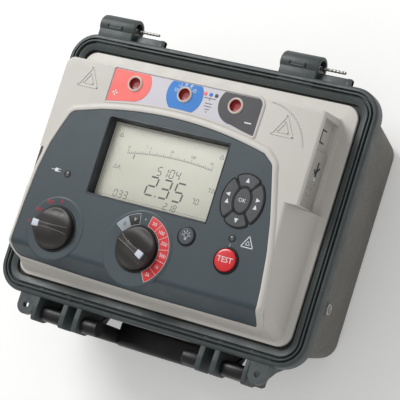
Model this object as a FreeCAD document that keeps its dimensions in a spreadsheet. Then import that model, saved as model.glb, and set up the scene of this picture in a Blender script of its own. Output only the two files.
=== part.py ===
"""Insulation resistance tester: an open carry case with a raised instrument panel.

Frame: +X to the right of the panel, +Y to the hinge side, +Z up, millimetres.
The origin lies on the floor under the centre of the case.
"""
import FreeCAD, Part
import math
import os
import Sketcher
from FreeCAD import Placement, Rotation, Vector

doc = FreeCAD.newDocument("InsulationTester")
sheet = doc.addObject("Spreadsheet::Sheet", "Sizes")

SIZES = [
    # the carry case
    ("case_width", 315.0), ("case_depth", 248.0), ("rim_top", 105.0), ("rim_band", 14.0),
    ("rim_corner", 25.0), ("base_width", 284.0), ("base_depth", 204.0), ("base_corner", 16.0),
    ("case_wall", 3.0), ("case_draft", 7.4), ("foot_height", 3.0), ("foot_radius", 11.0),
    ("foot_inset_side", 26.0), ("foot_inset_front", 16.0), ("front_reach", 145.5),
    # the rim's stepped top, as insets from its outer edge and heights below its top
    ("lip_inset", 2.0), ("ridge_inset", 3.6), ("ridge_width", 1.6), ("band_inset", 6.6),
    ("lip_drop", 3.0), ("groove_drop", 5.0), ("ridge_drop", 0.8), ("seal_inset", 12.0),
    ("ledge_drop", 6.5), ("ledge_width", 13.0), ("ledge_thick", 4.5),
    # front ribs, latches, padlock ears and carry handle
    ("rib_drop", 2.0), ("rib_foot", 40.0), ("rib_knee", 84.0), ("latch_inner", 82.5),
    ("latch_width", 23.5), ("rib_width", 5.5), ("ear_rib_width", 4.5), ("rib_gap", 9.0),
    ("ear_hole_x", 120.0), ("ear_hole_y", 133.5), ("ear_radius", 9.0), ("ear_hole_radius", 3.0),
    ("ear_thick", 7.0), ("pivot_y", 136.5), ("latch_pivot_z", 90.0), ("latch_hub_radius", 7.0),
    ("latch_pin_radius", 2.0), ("latch_length", 44.0), ("latch_thick", 6.5), ("latch_lip", 16.5),
    ("handle_pivot_z", 92.0), ("handle_hub_radius", 7.5), ("handle_pin_radius", 2.5),
    ("handle_drop", 54.0), ("handle_arm", 16.0), ("handle_grip", 16.0), ("handle_thick", 10.0),
    ("handle_back", 16.5),
    # rear hinge knuckles
    ("knuckle_left_x", -139.0), ("knuckle_right_x", 51.0), ("knuckle_length", 40.0),
    ("knuckle_radius", 10.0), ("knuckle_z", 95.0), ("knuckle_bore", 6.5),
    ("knuckle_bore_depth", 13.0), ("hinge_pin_radius", 1.5), ("hinge_root_radius", 2.2), ("hinge_pin_free", 23.0),
    ("ledge_run", 31.0), ("ledge_reach", 7.0),
    # the instrument panel
    ("flange_width", 281.0), ("flange_depth", 214.0), ("flange_corner", 13.0),
    ("flange_thick", 3.5), ("flange_z", 99.5), ("seal_thick", 1.0), ("deck_z", 137.0),
    ("deck_thick", 2.5), ("deck_left", 138.5), ("deck_right", 127.0), ("deck_rear", 93.0),
    ("deck_corner", 8.0), ("slope_top_y", -84.0), ("slope_foot_y", -104.0),
    ("ramp_top_x", 119.0), ("ramp_foot_x", 135.0), ("ramp_end_y", 8.5),
    ("fascia_thick", 0.8), ("post_radius", 5.0), ("post_foot_z", 60.0), ("post_screw", 2.0),
    # display
    ("display_left", -74.0), ("display_right", 50.0), ("display_front", -26.0),
    ("display_rear", 47.0), ("display_wall", 2.0), ("window_z", 127.8), ("window_thick", 1.2),
    ("lcd_thick", 6.8),
    # knobs and rotary switches
    ("mode_x", -93.0), ("mode_y", -63.5), ("range_x", -7.0), ("range_y", -61.5),
    ("knob_radius", 19.25), ("knob_skirt", 5.0), ("knob_height", 13.5), ("knob_grip", 11.0),
    ("shaft_radius", 3.0), ("bush_radius", 4.5), ("switch_radius", 13.0),
    ("switch_top", 130.0), ("knob_ring", 1.2),
    # keys, buttons and lamps
    ("pad_x", 76.5), ("pad_y", 1.0), ("pad_half_x", 19.5), ("pad_half_y", 23.0),
    ("pad_inner_x", 9.0), ("pad_inner_y", 12.6), ("ok_half_x", 7.2), ("ok_half_y", 10.8),
    ("key_gap", 1.6), ("key_foot", 134.7), ("key_proud", 1.1), ("key_travel", 0.8),
    ("fascia_left", 122.0), ("fascia_right", 114.5),
    ("test_x", 78.2), ("test_y", -51.3), ("test_radius", 10.0), ("test_proud", 2.6),
    ("light_x", 35.5), ("light_y", -40.0), ("light_radius", 7.2), ("button_ring", 1.6),
    ("hv_lamp_x", 77.6), ("hv_lamp_y", -31.7), ("power_lamp_x", -97.8),
    ("power_lamp_y", -13.4), ("lamp_radius", 2.0), ("mat_thick", 1.8), ("mat_gap_spare", 0.1),
    # terminals and their shutter
    ("terminal_x", -8.3), ("terminal_y", 79.0), ("terminal_pitch", 51.3),
    ("terminal_bore", 5.5), ("ring_radius", 8.2), ("ring_sleeve", 6.8), ("ring_proud", 1.2),
    ("strip_left", -84.0), ("strip_right", 67.5), ("strip_front", 57.5), ("strip_rear", 90.0),
    ("strip_thick", 0.6), ("shutter_travel", 30.0), ("shutter_ratio", 0.45),
    ("shutter_thick", 2.0), ("shutter_pin_x", 106.0), ("shutter_pin_y", 53.0),
    ("shutter_pin_radius", 2.0), ("link_top", 128.0), ("link_thick", 2.0),
    ("channel_floor", 121.0), ("channel_front", 9.5), ("channel_rear", 90.0),
    ("channel_low", 107.0), ("channel_high", 133.0), ("slider_length", 50.0),
    ("socket_radius", 3.5), ("socket_bore", 2.05), ("socket_top", 131.0),
    # electronics
    ("board_z", 109.0), ("board_thick", 1.6), ("pillar_radius", 3.0),
    ("inlet_front", -32.0), ("inlet_rear", 6.0), ("inlet_depth", 5.5),
    ("inlet_width", 27.0), ("inlet_height", 20.0), ("usb_y", 73.0), ("usb_width", 12.0),
    ("usb_height", 11.0), ("usb_length", 16.0),
    # clearances
    ("free_gap", 0.3), ("running_gap", 0.06), ("seat_gap", 0.1),
    ("valve_y", -63.0), ("valve_z", 70.0), ("valve_radius", 5.0),
]
for row, (alias, value) in enumerate(SIZES, start=1):
    sheet.set("A%d" % row, alias.replace("_", " "))
    sheet.set("B%d" % row, str(value))
    sheet.setAlias("B%d" % row, alias)
doc.recompute()


class Size:
    """A length that knows both its number and the sheet expression it comes from."""

    def __init__(self, number, text):
        self.number = float(number)
        self.text = text

    def __add__(self, other):
        other = as_size(other)
        return Size(self.number + other.number, "(%s + %s)" % (self.text, other.text))

    def __sub__(self, other):
        other = as_size(other)
        return Size(self.number - other.number, "(%s - %s)" % (self.text, other.text))

    def __mul__(self, other):
        other = as_size(other)
        return Size(self.number * other.number, "(%s * %s)" % (self.text, other.text))

    def __truediv__(self, other):
        other = as_size(other)
        return Size(self.number / other.number, "(%s / %s)" % (self.text, other.text))

    def __neg__(self):
        return Size(-self.number, "(0 - %s)" % self.text)

    def __radd__(self, other):
        return as_size(other) + self

    def __rsub__(self, other):
        return as_size(other) - self

    def __rmul__(self, other):
        return as_size(other) * self


def as_size(value):
    """A plain number as a Size."""
    if isinstance(value, Size):
        return value
    return Size(value, "(%.6f)" % value)


class Sheet:
    """Reads the sheet's cells as Size values: size.case_width."""

    def __getattr__(self, alias):
        return Size(getattr(sheet, alias), "Sizes." + alias)


size = Sheet()


def bind(thing, path, value):
    """Bind one property of an object to a Size."""
    thing.setExpression(path, as_size(value).text)


def new_body(name):
    """An empty PartDesign body, named as its node."""
    body = doc.addObject("PartDesign::Body", name)
    body.Label = name
    return body


def box(body, name, x, y, z, cut=False):
    """A box between the two ends given for each of x, y and z, added or cut."""
    kind = "PartDesign::SubtractiveBox" if cut else "PartDesign::AdditiveBox"
    feature = body.newObject(kind, name)
    for path, ends in (("Length", x), ("Width", y), ("Height", z)):
        bind(feature, path, as_size(ends[1]) - ends[0])
    for path, ends in (("x", x), ("y", y), ("z", z)):
        bind(feature, "Placement.Base." + path, ends[0])
    return feature


TURNS = {
    "z": Rotation(),
    "x": Rotation(Vector(0, 1, 0), 90),
    "y": Rotation(Vector(1, 0, 0), -90),
}


def rod(body, name, start, length, radius, axis="z", cut=False):
    """A cylinder from a start point along +X, +Y or +Z, added or cut."""
    kind = "PartDesign::SubtractiveCylinder" if cut else "PartDesign::AdditiveCylinder"
    feature = body.newObject(kind, name)
    bind(feature, "Radius", radius)
    bind(feature, "Height", length)
    feature.Placement = Placement(Vector(), TURNS[axis])
    for path, value in zip("xyz", start):
        bind(feature, "Placement.Base." + path, value)
    return feature


def new_sketch(body, name, plane, offset):
    """A sketch on one of the body's origin planes, moved along that plane's normal."""
    sketch = body.newObject("Sketcher::SketchObject", name)
    origin_plane = [item for item in body.Origin.OriginFeatures if item.Role == plane][0]
    sketch.AttachmentSupport = [(origin_plane, "")]
    sketch.MapMode = "FlatFace"
    bind(sketch, "AttachmentOffset.Base.z", offset)
    return sketch


def drive(sketch, kind, places, value):
    """Add a dimension to a sketch and bind it to a Size."""
    value = as_size(value)
    index = sketch.addConstraint(Sketcher.Constraint(kind, *places, value.number))
    sketch.setExpression("Constraints[%d]" % index, value.text)


def rounded_outline(sketch, x, y, corner):
    """Four sides and four corner arcs, driven by the ends in x and y and one radius."""
    x0, x1, y0, y1 = [as_size(v).number for v in (x[0], x[1], y[0], y[1])]
    r = as_size(corner).number
    ends = [((x0 + r, y0), (x1 - r, y0)), ((x1, y0 + r), (x1, y1 - r)),
            ((x1 - r, y1), (x0 + r, y1)), ((x0, y1 - r), (x0, y0 + r))]
    sides = []
    for start, end in ends:
        line = Part.LineSegment(Vector(*start, 0), Vector(*end, 0))
        sides.append(sketch.addGeometry(line, False))
    centres = [(x1 - r, y0 + r), (x1 - r, y1 - r), (x0 + r, y1 - r), (x0 + r, y0 + r)]
    arcs = []
    for quarter, centre in enumerate(centres):
        circle = Part.Circle(Vector(*centre, 0), Vector(0, 0, 1), r)
        start = math.radians(270 + 90 * quarter)
        arcs.append(sketch.addGeometry(Part.ArcOfCircle(circle, start, start + math.pi / 2), False))
    for corner_number in range(4):
        arc = arcs[corner_number]
        next_side = sides[(corner_number + 1) % 4]
        sketch.addConstraint(Sketcher.Constraint("Tangent", sides[corner_number], 2, arc, 1))
        sketch.addConstraint(Sketcher.Constraint("Tangent", arc, 2, next_side, 1))
    for corner_number in range(3):
        sketch.addConstraint(Sketcher.Constraint("Equal", arcs[corner_number], arcs[corner_number + 1]))
    for side in (0, 2):
        sketch.addConstraint(Sketcher.Constraint("Horizontal", sides[side]))
    for side in (1, 3):
        sketch.addConstraint(Sketcher.Constraint("Vertical", sides[side]))
    drive(sketch, "Radius", (arcs[0],), corner)
    drive(sketch, "DistanceX", (-1, 1, sides[3], 1), x[0])
    drive(sketch, "DistanceX", (-1, 1, sides[1], 1), x[1])
    drive(sketch, "DistanceY", (-1, 1, sides[0], 1), y[0])
    drive(sketch, "DistanceY", (-1, 1, sides[2], 1), y[1])


def polygon_outline(sketch, points):
    """Straight sides through points, each point's two coordinates driven."""
    count = len(points)
    numbers = [Vector(as_size(u).number, as_size(v).number, 0) for u, v in points]
    for i in range(count):
        sketch.addGeometry(Part.LineSegment(numbers[i], numbers[(i + 1) % count]), False)
    for i in range(count):
        sketch.addConstraint(Sketcher.Constraint("Coincident", i, 2, (i + 1) % count, 1))
    for i, (u, v) in enumerate(points):
        drive(sketch, "DistanceX", (-1, 1, i, 1), u)
        drive(sketch, "DistanceY", (-1, 1, i, 1), v)


def raise_sketch(body, name, sketch, length, cut=False, taper=None):
    """Pad a sketch along its normal, or cut along the same direction."""
    feature = body.newObject("PartDesign::Pocket" if cut else "PartDesign::Pad", name)
    feature.Profile = sketch
    bind(feature, "Length", length)
    if cut:
        feature.Reversed = True
    if taper is not None:
        bind(feature, "TaperAngle", taper)
    return feature


def slab(body, name, x, y, z, corner, cut=False, taper=None):
    """A plate with round corners between the ends given, added or cut."""
    sketch = new_sketch(body, name + "_outline", "XY_Plane", z[0])
    rounded_outline(sketch, x, y, corner)
    return raise_sketch(body, name, sketch, as_size(z[1]) - z[0], cut, taper)


def profile(body, name, plane, start, length, points, cut=False):
    """A straight-sided profile carried along the normal of its plane."""
    sketch = new_sketch(body, name + "_outline", plane, start)
    polygon_outline(sketch, points)
    return raise_sketch(body, name, sketch, length, cut)


def across(half):
    """The two ends of a span centred on zero."""
    return (-as_size(half), as_size(half))


def around(centre, half):
    """The two ends of a span centred on a value."""
    return (as_size(centre) - half, as_size(centre) + half)


# Heights and places that several pieces share.
rim_base = size.rim_top - size.rim_band
case_half = size.case_width / 2
case_side = size.case_depth / 2
floor_top = size.foot_height + size.case_wall
ledge_z = size.rim_top - size.ledge_drop
ledge_inset = size.seal_inset + size.ledge_width
draft_slope = math.tan(math.radians(size.case_draft.number))
screw_x = size.base_width / 2 - size.foot_inset_side
screw_y = size.base_depth / 2 - size.foot_inset_front
deck_under = size.deck_z - size.deck_thick
fascia_top = size.deck_z + size.fascia_thick
flange_top = size.flange_z + size.flange_thick
board_top = size.board_z + size.board_thick
latch_outer = size.latch_inner + size.latch_width
rib_outer = (size.latch_inner - size.rib_width - 1.0, size.latch_inner - 1.0)
rib_inner = (rib_outer[0] - size.rib_gap - size.rib_width, rib_outer[0] - size.rib_gap)
ear_rib = (latch_outer + 1.0, latch_outer + 1.0 + size.ear_rib_width)
barrel_y = size.front_reach - size.knuckle_radius
handle_half = rib_inner[0] - size.free_gap
shutter_top = deck_under - size.free_gap
shutter_shift = size.shutter_travel * size.shutter_ratio
mat_top = size.key_foot - size.key_travel - size.mat_gap_spare
keypad_board_top = mat_top - size.mat_thick
SCREW_CORNERS = ((-1, -1), (1, -1), (1, 1), (-1, 1))


def terminal_places():
    """The three terminal centres from left to right."""
    return [size.terminal_x + size.terminal_pitch * step for step in (-1, 0, 1)]


# ------------------------------------------------------------------ case
def make_case_shell():
    """The lower case moulding: tapered tub, stepped rim, ribs, padlock ears, knuckles."""
    body = new_body("case_shell")
    slab(body, "tub", across(size.base_width / 2), across(size.base_depth / 2),
         (size.foot_height, rim_base), size.base_corner, taper=size.case_draft)
    slab(body, "rim", across(case_half), across(case_side), (rim_base, size.rim_top),
         size.rim_corner)
    rib_top = size.rim_top - size.rib_drop
    foot_wall = -(size.base_depth / 2) - (size.rib_foot - size.foot_height) * draft_slope
    rib_points = [(foot_wall + 1.5, size.rib_foot), (1.5 - case_side + size.ledge_width, rim_base),
                  (3.0 - case_side, rib_top), (1.5 - size.front_reach, rib_top),
                  (-size.front_reach, rib_top - 2.0), (-size.front_reach, size.rib_knee)]
    for side, mirror in (("left", -1), ("right", 1)):
        for label, span in (("outer", rib_outer), ("inner", rib_inner), ("ear", ear_rib)):
            start = -span[1] if mirror < 0 else span[0]
            profile(body, "rib_%s_%s" % (label, side), "YZ_Plane", start, span[1] - span[0],
                    rib_points)
        ear_x = size.ear_hole_x * mirror
        rod(body, "ear_" + side, (ear_x, -size.ear_hole_y, rib_top - size.ear_thick),
            size.ear_thick, size.ear_radius)
        box(body, "ear_root_" + side, around(ear_x, size.ear_radius),
            (-size.ear_hole_y, 2.0 - case_side), (rib_top - size.ear_thick, rib_top))
        left_end = size.knuckle_left_x if mirror < 0 else size.knuckle_right_x
        right_end = left_end + size.knuckle_length
        rod(body, "knuckle_" + side, (left_end, barrel_y, size.knuckle_z),
            size.knuckle_length, size.knuckle_radius, "x")
        box(body, "knuckle_web_" + side, (left_end, right_end),
            (case_side - 3.0, barrel_y), (rim_base, rim_base + 8.0))
        box(body, "lid_ledge_" + side, (right_end - 1.0, right_end + size.ledge_run),
            (case_side - 3.0, case_side + size.ledge_reach), (rim_base, rim_base + 6.0))
        box(body, "lid_stop_" + side,
            (right_end + size.ledge_run - 4.0, right_end + size.ledge_run),
            (case_side - 3.0, case_side + size.ledge_reach), (rim_base, rim_base + 9.0))
    # hollow: tapered tub, ledge opening and seal recess
    inner = size.case_wall - size.case_wall * draft_slope
    slab(body, "tub_hollow", across(size.base_width / 2 - inner),
         across(size.base_depth / 2 - inner), (floor_top, ledge_z - size.ledge_thick),
         size.base_corner - size.case_wall, cut=True, taper=size.case_draft)
    slab(body, "ledge_opening", across(case_half - ledge_inset), across(case_side - ledge_inset),
         (ledge_z - size.ledge_thick - 1.0, ledge_z + 1.0), 8.0, cut=True)
    slab(body, "seal_recess", across(case_half - size.seal_inset),
         across(case_side - size.seal_inset), (ledge_z, size.rim_top + 1.0),
         size.rim_corner - size.seal_inset, cut=True)
    # stepped rim: each step is a ring cut down to its own height
    steps = [("lip", as_size(-1.0), size.ridge_inset, size.lip_drop),
             ("outer_groove", size.lip_inset, size.ridge_inset, size.groove_drop),
             ("ridge", size.ridge_inset, size.ridge_inset + size.ridge_width, size.ridge_drop),
             ("inner_groove", size.ridge_inset + size.ridge_width, size.band_inset,
              size.groove_drop - 1.5)]
    for name, outer, inner_edge, drop in steps:
        sketch = new_sketch(body, name + "_outline", "XY_Plane", size.rim_top - drop)
        rounded_outline(sketch, across(case_half - outer), across(case_side - outer),
                        size.rim_corner - outer)
        rounded_outline(sketch, across(case_half - inner_edge), across(case_side - inner_edge),
                        size.rim_corner - inner_edge)
        raise_sketch(body, name, sketch, drop + 0.001, cut=True)
    # screw bosses and their holes, pin holes, padlock holes, knuckle bores, valve hole
    for number, (sx, sy) in enumerate(SCREW_CORNERS):
        x, y = screw_x * sx, screw_y * sy
        rod(body, "boss_%d" % number, (x, y, floor_top - 1.0), size.post_foot_z - floor_top + 1.0,
            size.post_radius)
        rod(body, "boss_hole_%d" % number, (x, y, size.foot_height - 1.0), 200.0,
            size.post_screw + size.seat_gap, cut=True)
        rod(body, "head_hole_%d" % number, (x, y, size.foot_height - 1.0), 4.6, 4.2, cut=True)
    for side, mirror in (("left", -1), ("right", 1)):
        rod(body, "padlock_hole_" + side,
            (size.ear_hole_x * mirror, -size.ear_hole_y, rim_base), size.rim_band,
            size.ear_hole_radius, cut=True)
        latch_start = -ear_rib[1] + 1.0 if mirror < 0 else rib_outer[0] + 1.0
        rod(body, "latch_pin_hole_" + side, (latch_start, -size.pivot_y, size.latch_pivot_z),
            ear_rib[1] - rib_outer[0] - 2.0, size.latch_pin_radius + 0.02, "x", cut=True)
        handle_start = -rib_inner[1] + 1.0 if mirror < 0 else rib_inner[0] - 1.0
        rod(body, "handle_pin_hole_" + side, (handle_start, -size.pivot_y, size.handle_pivot_z),
            size.rib_width, size.handle_pin_radius + 0.02, "x", cut=True)
        left_end = size.knuckle_left_x if mirror < 0 else size.knuckle_right_x
        right_end = left_end + size.knuckle_length
        rod(body, "knuckle_bore_" + side,
            (right_end - size.knuckle_bore_depth, barrel_y, size.knuckle_z),
            size.knuckle_bore_depth + 1.0, size.knuckle_bore, "x", cut=True)
        rod(body, "pin_bore_" + side,
            (right_end - size.knuckle_length * 0.6, barrel_y, size.knuckle_z),
            size.knuckle_length * 0.5, size.hinge_root_radius + 0.02, "x", cut=True)
    rod(body, "valve_hole", (case_half - 20.0, size.valve_y, size.valve_z), 30.0,
        size.valve_radius + size.seat_gap, "x", cut=True)
    return body


def make_rubber_feet():
    """Four round feet that cover the case screws."""
    body = new_body("rubber_feet")
    for number, (sx, sy) in enumerate(SCREW_CORNERS):
        rod(body, "foot_%d" % number, (screw_x * sx, screw_y * sy, 0.0), size.foot_height,
            size.foot_radius)
    return body


def make_case_screws():
    """Four long screws from under the case into the panel's posts."""
    body = new_body("case_screws")
    for number, (sx, sy) in enumerate(SCREW_CORNERS):
        x, y = screw_x * sx, screw_y * sy
        rod(body, "head_%d" % number, (x, y, size.foot_height + 0.2), 3.2, 3.8)
        rod(body, "shank_%d" % number, (x, y, size.foot_height + 3.4),
            size.post_foot_z + 12.0 - size.foot_height, size.post_screw)
    return body


def make_panel_seal():
    """The black rubber seal between the panel flange and the case ledge."""
    body = new_body("panel_seal")
    inset = size.seal_inset + size.free_gap
    slab(body, "seal", across(case_half - inset), across(case_side - inset),
         (ledge_z, ledge_z + size.seal_thick), size.rim_corner - inset)
    slab(body, "seal_opening", across(case_half - ledge_inset), across(case_side - ledge_inset),
         (ledge_z - 1.0, ledge_z + size.seal_thick + 1.0), 8.0, cut=True)
    return body


def make_vent_valve():
    """The pressure valve in the right wall."""
    body = new_body("vent_valve")
    wall_x = size.base_width / 2 + (size.valve_z - size.foot_height) * draft_slope
    rod(body, "valve_body", (wall_x - 8.0, size.valve_y, size.valve_z), 9.6, size.valve_radius, "x")
    rod(body, "valve_nut", (wall_x - 9.0, size.valve_y, size.valve_z), 4.2, 8.0, "x")
    rod(body, "valve_breather", (wall_x - 1.0, size.valve_y, size.valve_z), 4.0, 1.5, "x", cut=True)
    return body


def make_hinge_pins():
    """Two steel hinge pins that a lid slips on to."""
    body = new_body("hinge_pins")
    for side, left_end in (("left", size.knuckle_left_x), ("right", size.knuckle_right_x)):
        start = left_end + size.knuckle_length * 0.4 + 0.5
        right_end = left_end + size.knuckle_length
        rod(body, "root_" + side, (start, barrel_y, size.knuckle_z), right_end - start,
            size.hinge_root_radius, "x")
        rod(body, "pin_" + side, (right_end, barrel_y, size.knuckle_z), size.hinge_pin_free,
            size.hinge_pin_radius, "x")
    return body


def make_latch_pins():
    """The two pins that the latches turn on."""
    body = new_body("latch_pins")
    length = ear_rib[1] - rib_outer[0] - 2.4
    for side, start in (("left", -ear_rib[1] + 1.2), ("right", rib_outer[0] + 1.2)):
        rod(body, "pin_" + side, (start, -size.pivot_y, size.latch_pivot_z), length,
            size.latch_pin_radius, "x")
    return body


def make_handle_pins():
    """The two pins at the ends of the carry handle."""
    body = new_body("handle_pins")
    length = size.handle_arm + size.rib_width - 1.5
    for side, start in (("left", -rib_inner[1] + 1.2), ("right", rib_inner[1] - length - 1.2)):
        rod(body, "pin_" + side, (start, -size.pivot_y, size.handle_pivot_z), length,
            size.handle_pin_radius, "x")
    return body


def make_carry_handle():
    """The carry handle: a hub tube between the inner ribs, two arms and a grip bar."""
    body = new_body("carry_handle")
    grip_low = size.handle_pivot_z - size.handle_drop
    half_thick = size.handle_thick / 2
    rod(body, "hub", (-handle_half, -size.pivot_y, size.handle_pivot_z), handle_half * 2,
        size.handle_hub_radius, "x")
    for side, span in (("left", (-handle_half, size.handle_arm - handle_half)),
                       ("right", (handle_half - size.handle_arm, handle_half))):
        box(body, "arm_" + side, span, around(-size.pivot_y, half_thick),
            (grip_low, size.handle_pivot_z))
    slab(body, "grip", across(handle_half), around(-size.pivot_y, half_thick + 1.5),
         (grip_low, grip_low + size.handle_grip), 5.0)
    slab(body, "grip_back", across(handle_half - size.handle_arm + 2.0),
         (-size.pivot_y, size.handle_back - size.pivot_y),
         (grip_low, grip_low + size.handle_grip), 5.0)
    for side, start in (("left", -handle_half - 1.0), ("right", handle_half - size.handle_arm - 1.0)):
        rod(body, "bore_" + side, (start, -size.pivot_y, size.handle_pivot_z),
            size.handle_arm + 2.0, size.handle_pin_radius + size.running_gap, "x", cut=True)
    return body


def make_latch(side, mirror):
    """A draw latch: hub on its pin, a lever plate down the front and a finger lip."""
    body = new_body(side + "_latch")
    inner, outer = size.latch_inner + size.free_gap, latch_outer - size.free_gap
    span = (-outer, -inner) if mirror < 0 else (inner, outer)
    foot = size.latch_pivot_z - size.latch_length
    back = -size.pivot_y - size.latch_hub_radius + size.latch_thick
    rod(body, "hub", (span[0], -size.pivot_y, size.latch_pivot_z), span[1] - span[0],
        size.latch_hub_radius, "x")
    box(body, "lever", span, (-size.pivot_y - size.latch_hub_radius, back),
        (foot, size.latch_pivot_z))
    box(body, "lip", span, (-size.pivot_y - size.latch_hub_radius, back + size.latch_lip),
        (foot, foot + 4.0))
    rod(body, "bore", (span[0] - 1.0, -size.pivot_y, size.latch_pivot_z), span[1] - span[0] + 2.0,
        size.latch_pin_radius + size.running_gap, "x", cut=True)
    return body


# ------------------------------------------------------------------ panel
def make_instrument_panel():
    """The light panel moulding: flange, raised deck with sloped front, ramp and side channel."""
    body = new_body("instrument_panel")
    deck_front = size.slope_foot_y
    slab(body, "flange", across(size.flange_width / 2), across(size.flange_depth / 2),
         (size.flange_z, flange_top), size.flange_corner)
    slab(body, "deck", (-size.deck_left, size.ramp_foot_x), (deck_front, size.deck_rear),
         (size.flange_z + 1.0, size.deck_z), size.deck_corner)
    profile(body, "front_slope", "YZ_Plane", -size.case_width / 2, size.case_width,
            [(size.slope_top_y, size.deck_z), (deck_front, flange_top),
             (deck_front - 20.0, flange_top), (deck_front - 20.0, size.deck_z + 1.0),
             (size.slope_top_y, size.deck_z + 1.0)], cut=True)
    ramp = [(size.ramp_top_x, size.deck_z + 1.0), (size.ramp_top_x, size.deck_z),
            (size.ramp_foot_x, flange_top), (size.ramp_foot_x + 20.0, flange_top),
            (size.ramp_foot_x + 20.0, size.deck_z + 1.0)]
    profile(body, "side_ramp", "XZ_Plane", -size.ramp_end_y, size.case_depth, ramp, cut=True)
    box(body, "rear_side_cut", (size.deck_right, case_half),
        (size.ramp_end_y - 1.0, case_side), (flange_top, size.deck_z + 1.0), cut=True)
    # hollow underneath, in steps that leave a wall under every outer face
    low = size.flange_z - 1.0
    wall = size.case_wall
    box(body, "hollow_low", (wall - size.deck_left, size.channel_floor - 2.5),
        (deck_front + 5.0, size.deck_rear - wall), (low, size.channel_low), cut=True)
    inner_ramp = [(wall - size.deck_left, size.channel_low - 1.0),
                  (wall - size.deck_left, deck_under), (size.ramp_top_x - 3.0, deck_under),
                  (size.channel_floor - 2.5, size.channel_low + 6.0),
                  (size.channel_floor - 2.5, size.channel_low - 1.0)]
    profile(body, "hollow_main", "XZ_Plane", wall - size.deck_rear,
            size.deck_rear - size.slope_top_y - 5.0, inner_ramp, cut=True)
    box(body, "hollow_rear", (size.ramp_top_x - 4.0, size.channel_floor - 2.5),
        (size.ramp_end_y + wall, size.deck_rear - wall), (size.channel_low, deck_under), cut=True)
    # screw posts and board pillars hang from the deck
    for number, (sx, sy) in enumerate(SCREW_CORNERS):
        x, y = screw_x * sx, screw_y * sy
        post_top = size.channel_low + 1.5 if sy < 0 else size.link_top - 4.0
        rod(body, "post_%d" % number, (x, y, size.post_foot_z), post_top - size.post_foot_z,
            size.post_radius)
        rod(body, "post_hole_%d" % number, (x, y, size.post_foot_z - 1.0), 18.0,
            size.post_screw + 0.05, cut=True)
    # mains inlet notch in the left wall, backed by its own wall
    inlet_wall = size.inlet_depth - size.deck_left
    box(body, "inlet_wall", (wall - size.deck_left - 0.5, inlet_wall + wall),
        (size.inlet_front - wall, size.inlet_rear + wall), (size.flange_z, deck_under + 0.5))
    box(body, "inlet_notch", (-size.case_width / 2, inlet_wall),
        (size.inlet_front, size.inlet_rear), (flange_top + 1.0, size.deck_z + 1.0), cut=True)
    inlet_y = (size.inlet_front + size.inlet_rear) / 2
    box(body, "inlet_hole", (inlet_wall - 1.0, inlet_wall + wall + 1.0),
        around(inlet_y, size.inlet_width / 2 + size.seat_gap),
        (board_top + size.free_gap - 0.1, board_top + size.free_gap + size.inlet_height + 0.1),
        cut=True)
    # slider channel with its link slot and the socket window in its floor
    box(body, "channel", (size.channel_floor, case_half), (size.channel_front, size.channel_rear),
        (size.channel_low, size.channel_high), cut=True)
    box(body, "link_slot", (size.channel_floor - 4.0, size.channel_floor + 1.0),
        (size.channel_front + 6.0, size.channel_rear - 0.5),
        (size.link_top - size.link_thick - 0.5, size.link_top + 0.5), cut=True)
    box(body, "usb_window", (size.channel_floor - 4.0, size.channel_floor + 1.0),
        around(size.usb_y, size.usb_width / 2 + size.seat_gap),
        (board_top - size.seat_gap, board_top + size.usb_height + size.seat_gap), cut=True)
    # openings through the deck
    slab(body, "strip_recess", (size.strip_left, size.strip_right),
         (size.strip_front, size.strip_rear), (size.deck_z - size.strip_thick, size.deck_z + 1.0),
         4.0, cut=True)
    through = size.deck_thick + 2.0
    for number, x in enumerate(terminal_places()):
        rod(body, "terminal_hole_%d" % number, (x, size.terminal_y, deck_under - 1.0), through,
            size.ring_sleeve + size.seat_gap, cut=True)
    box(body, "display_hole", (size.display_left, size.display_right),
        (size.display_front, size.display_rear), (deck_under - 1.0, size.deck_z + 1.0), cut=True)
    for name, x, y, radius in round_openings():
        rod(body, name, (x, y, deck_under - 1.0), through, radius, cut=True)
    return body


def round_openings():
    """The round openings that pass through both the deck and the fascia."""
    return [("mode_hole", size.mode_x, size.mode_y, size.bush_radius + size.seat_gap),
            ("range_hole", size.range_x, size.range_y, size.bush_radius + size.seat_gap),
            ("test_hole", size.test_x, size.test_y, size.test_radius + size.free_gap),
            ("light_hole", size.light_x, size.light_y, size.light_radius + size.free_gap),
            ("hv_lamp_hole", size.hv_lamp_x, size.hv_lamp_y, size.lamp_radius + size.seat_gap),
            ("power_lamp_hole", size.power_lamp_x, size.power_lamp_y,
             size.lamp_radius + size.seat_gap)]


def cut_pad_opening(body, gap):
    """The oval opening for the arrow keys, with the given clearance round them."""
    slab(body, "pad_hole", around(size.pad_x, size.pad_half_x + gap),
         around(size.pad_y, size.pad_half_y + gap), (deck_under - 1.0, size.deck_z + 2.0),
         size.pad_half_x, cut=True)


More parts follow.
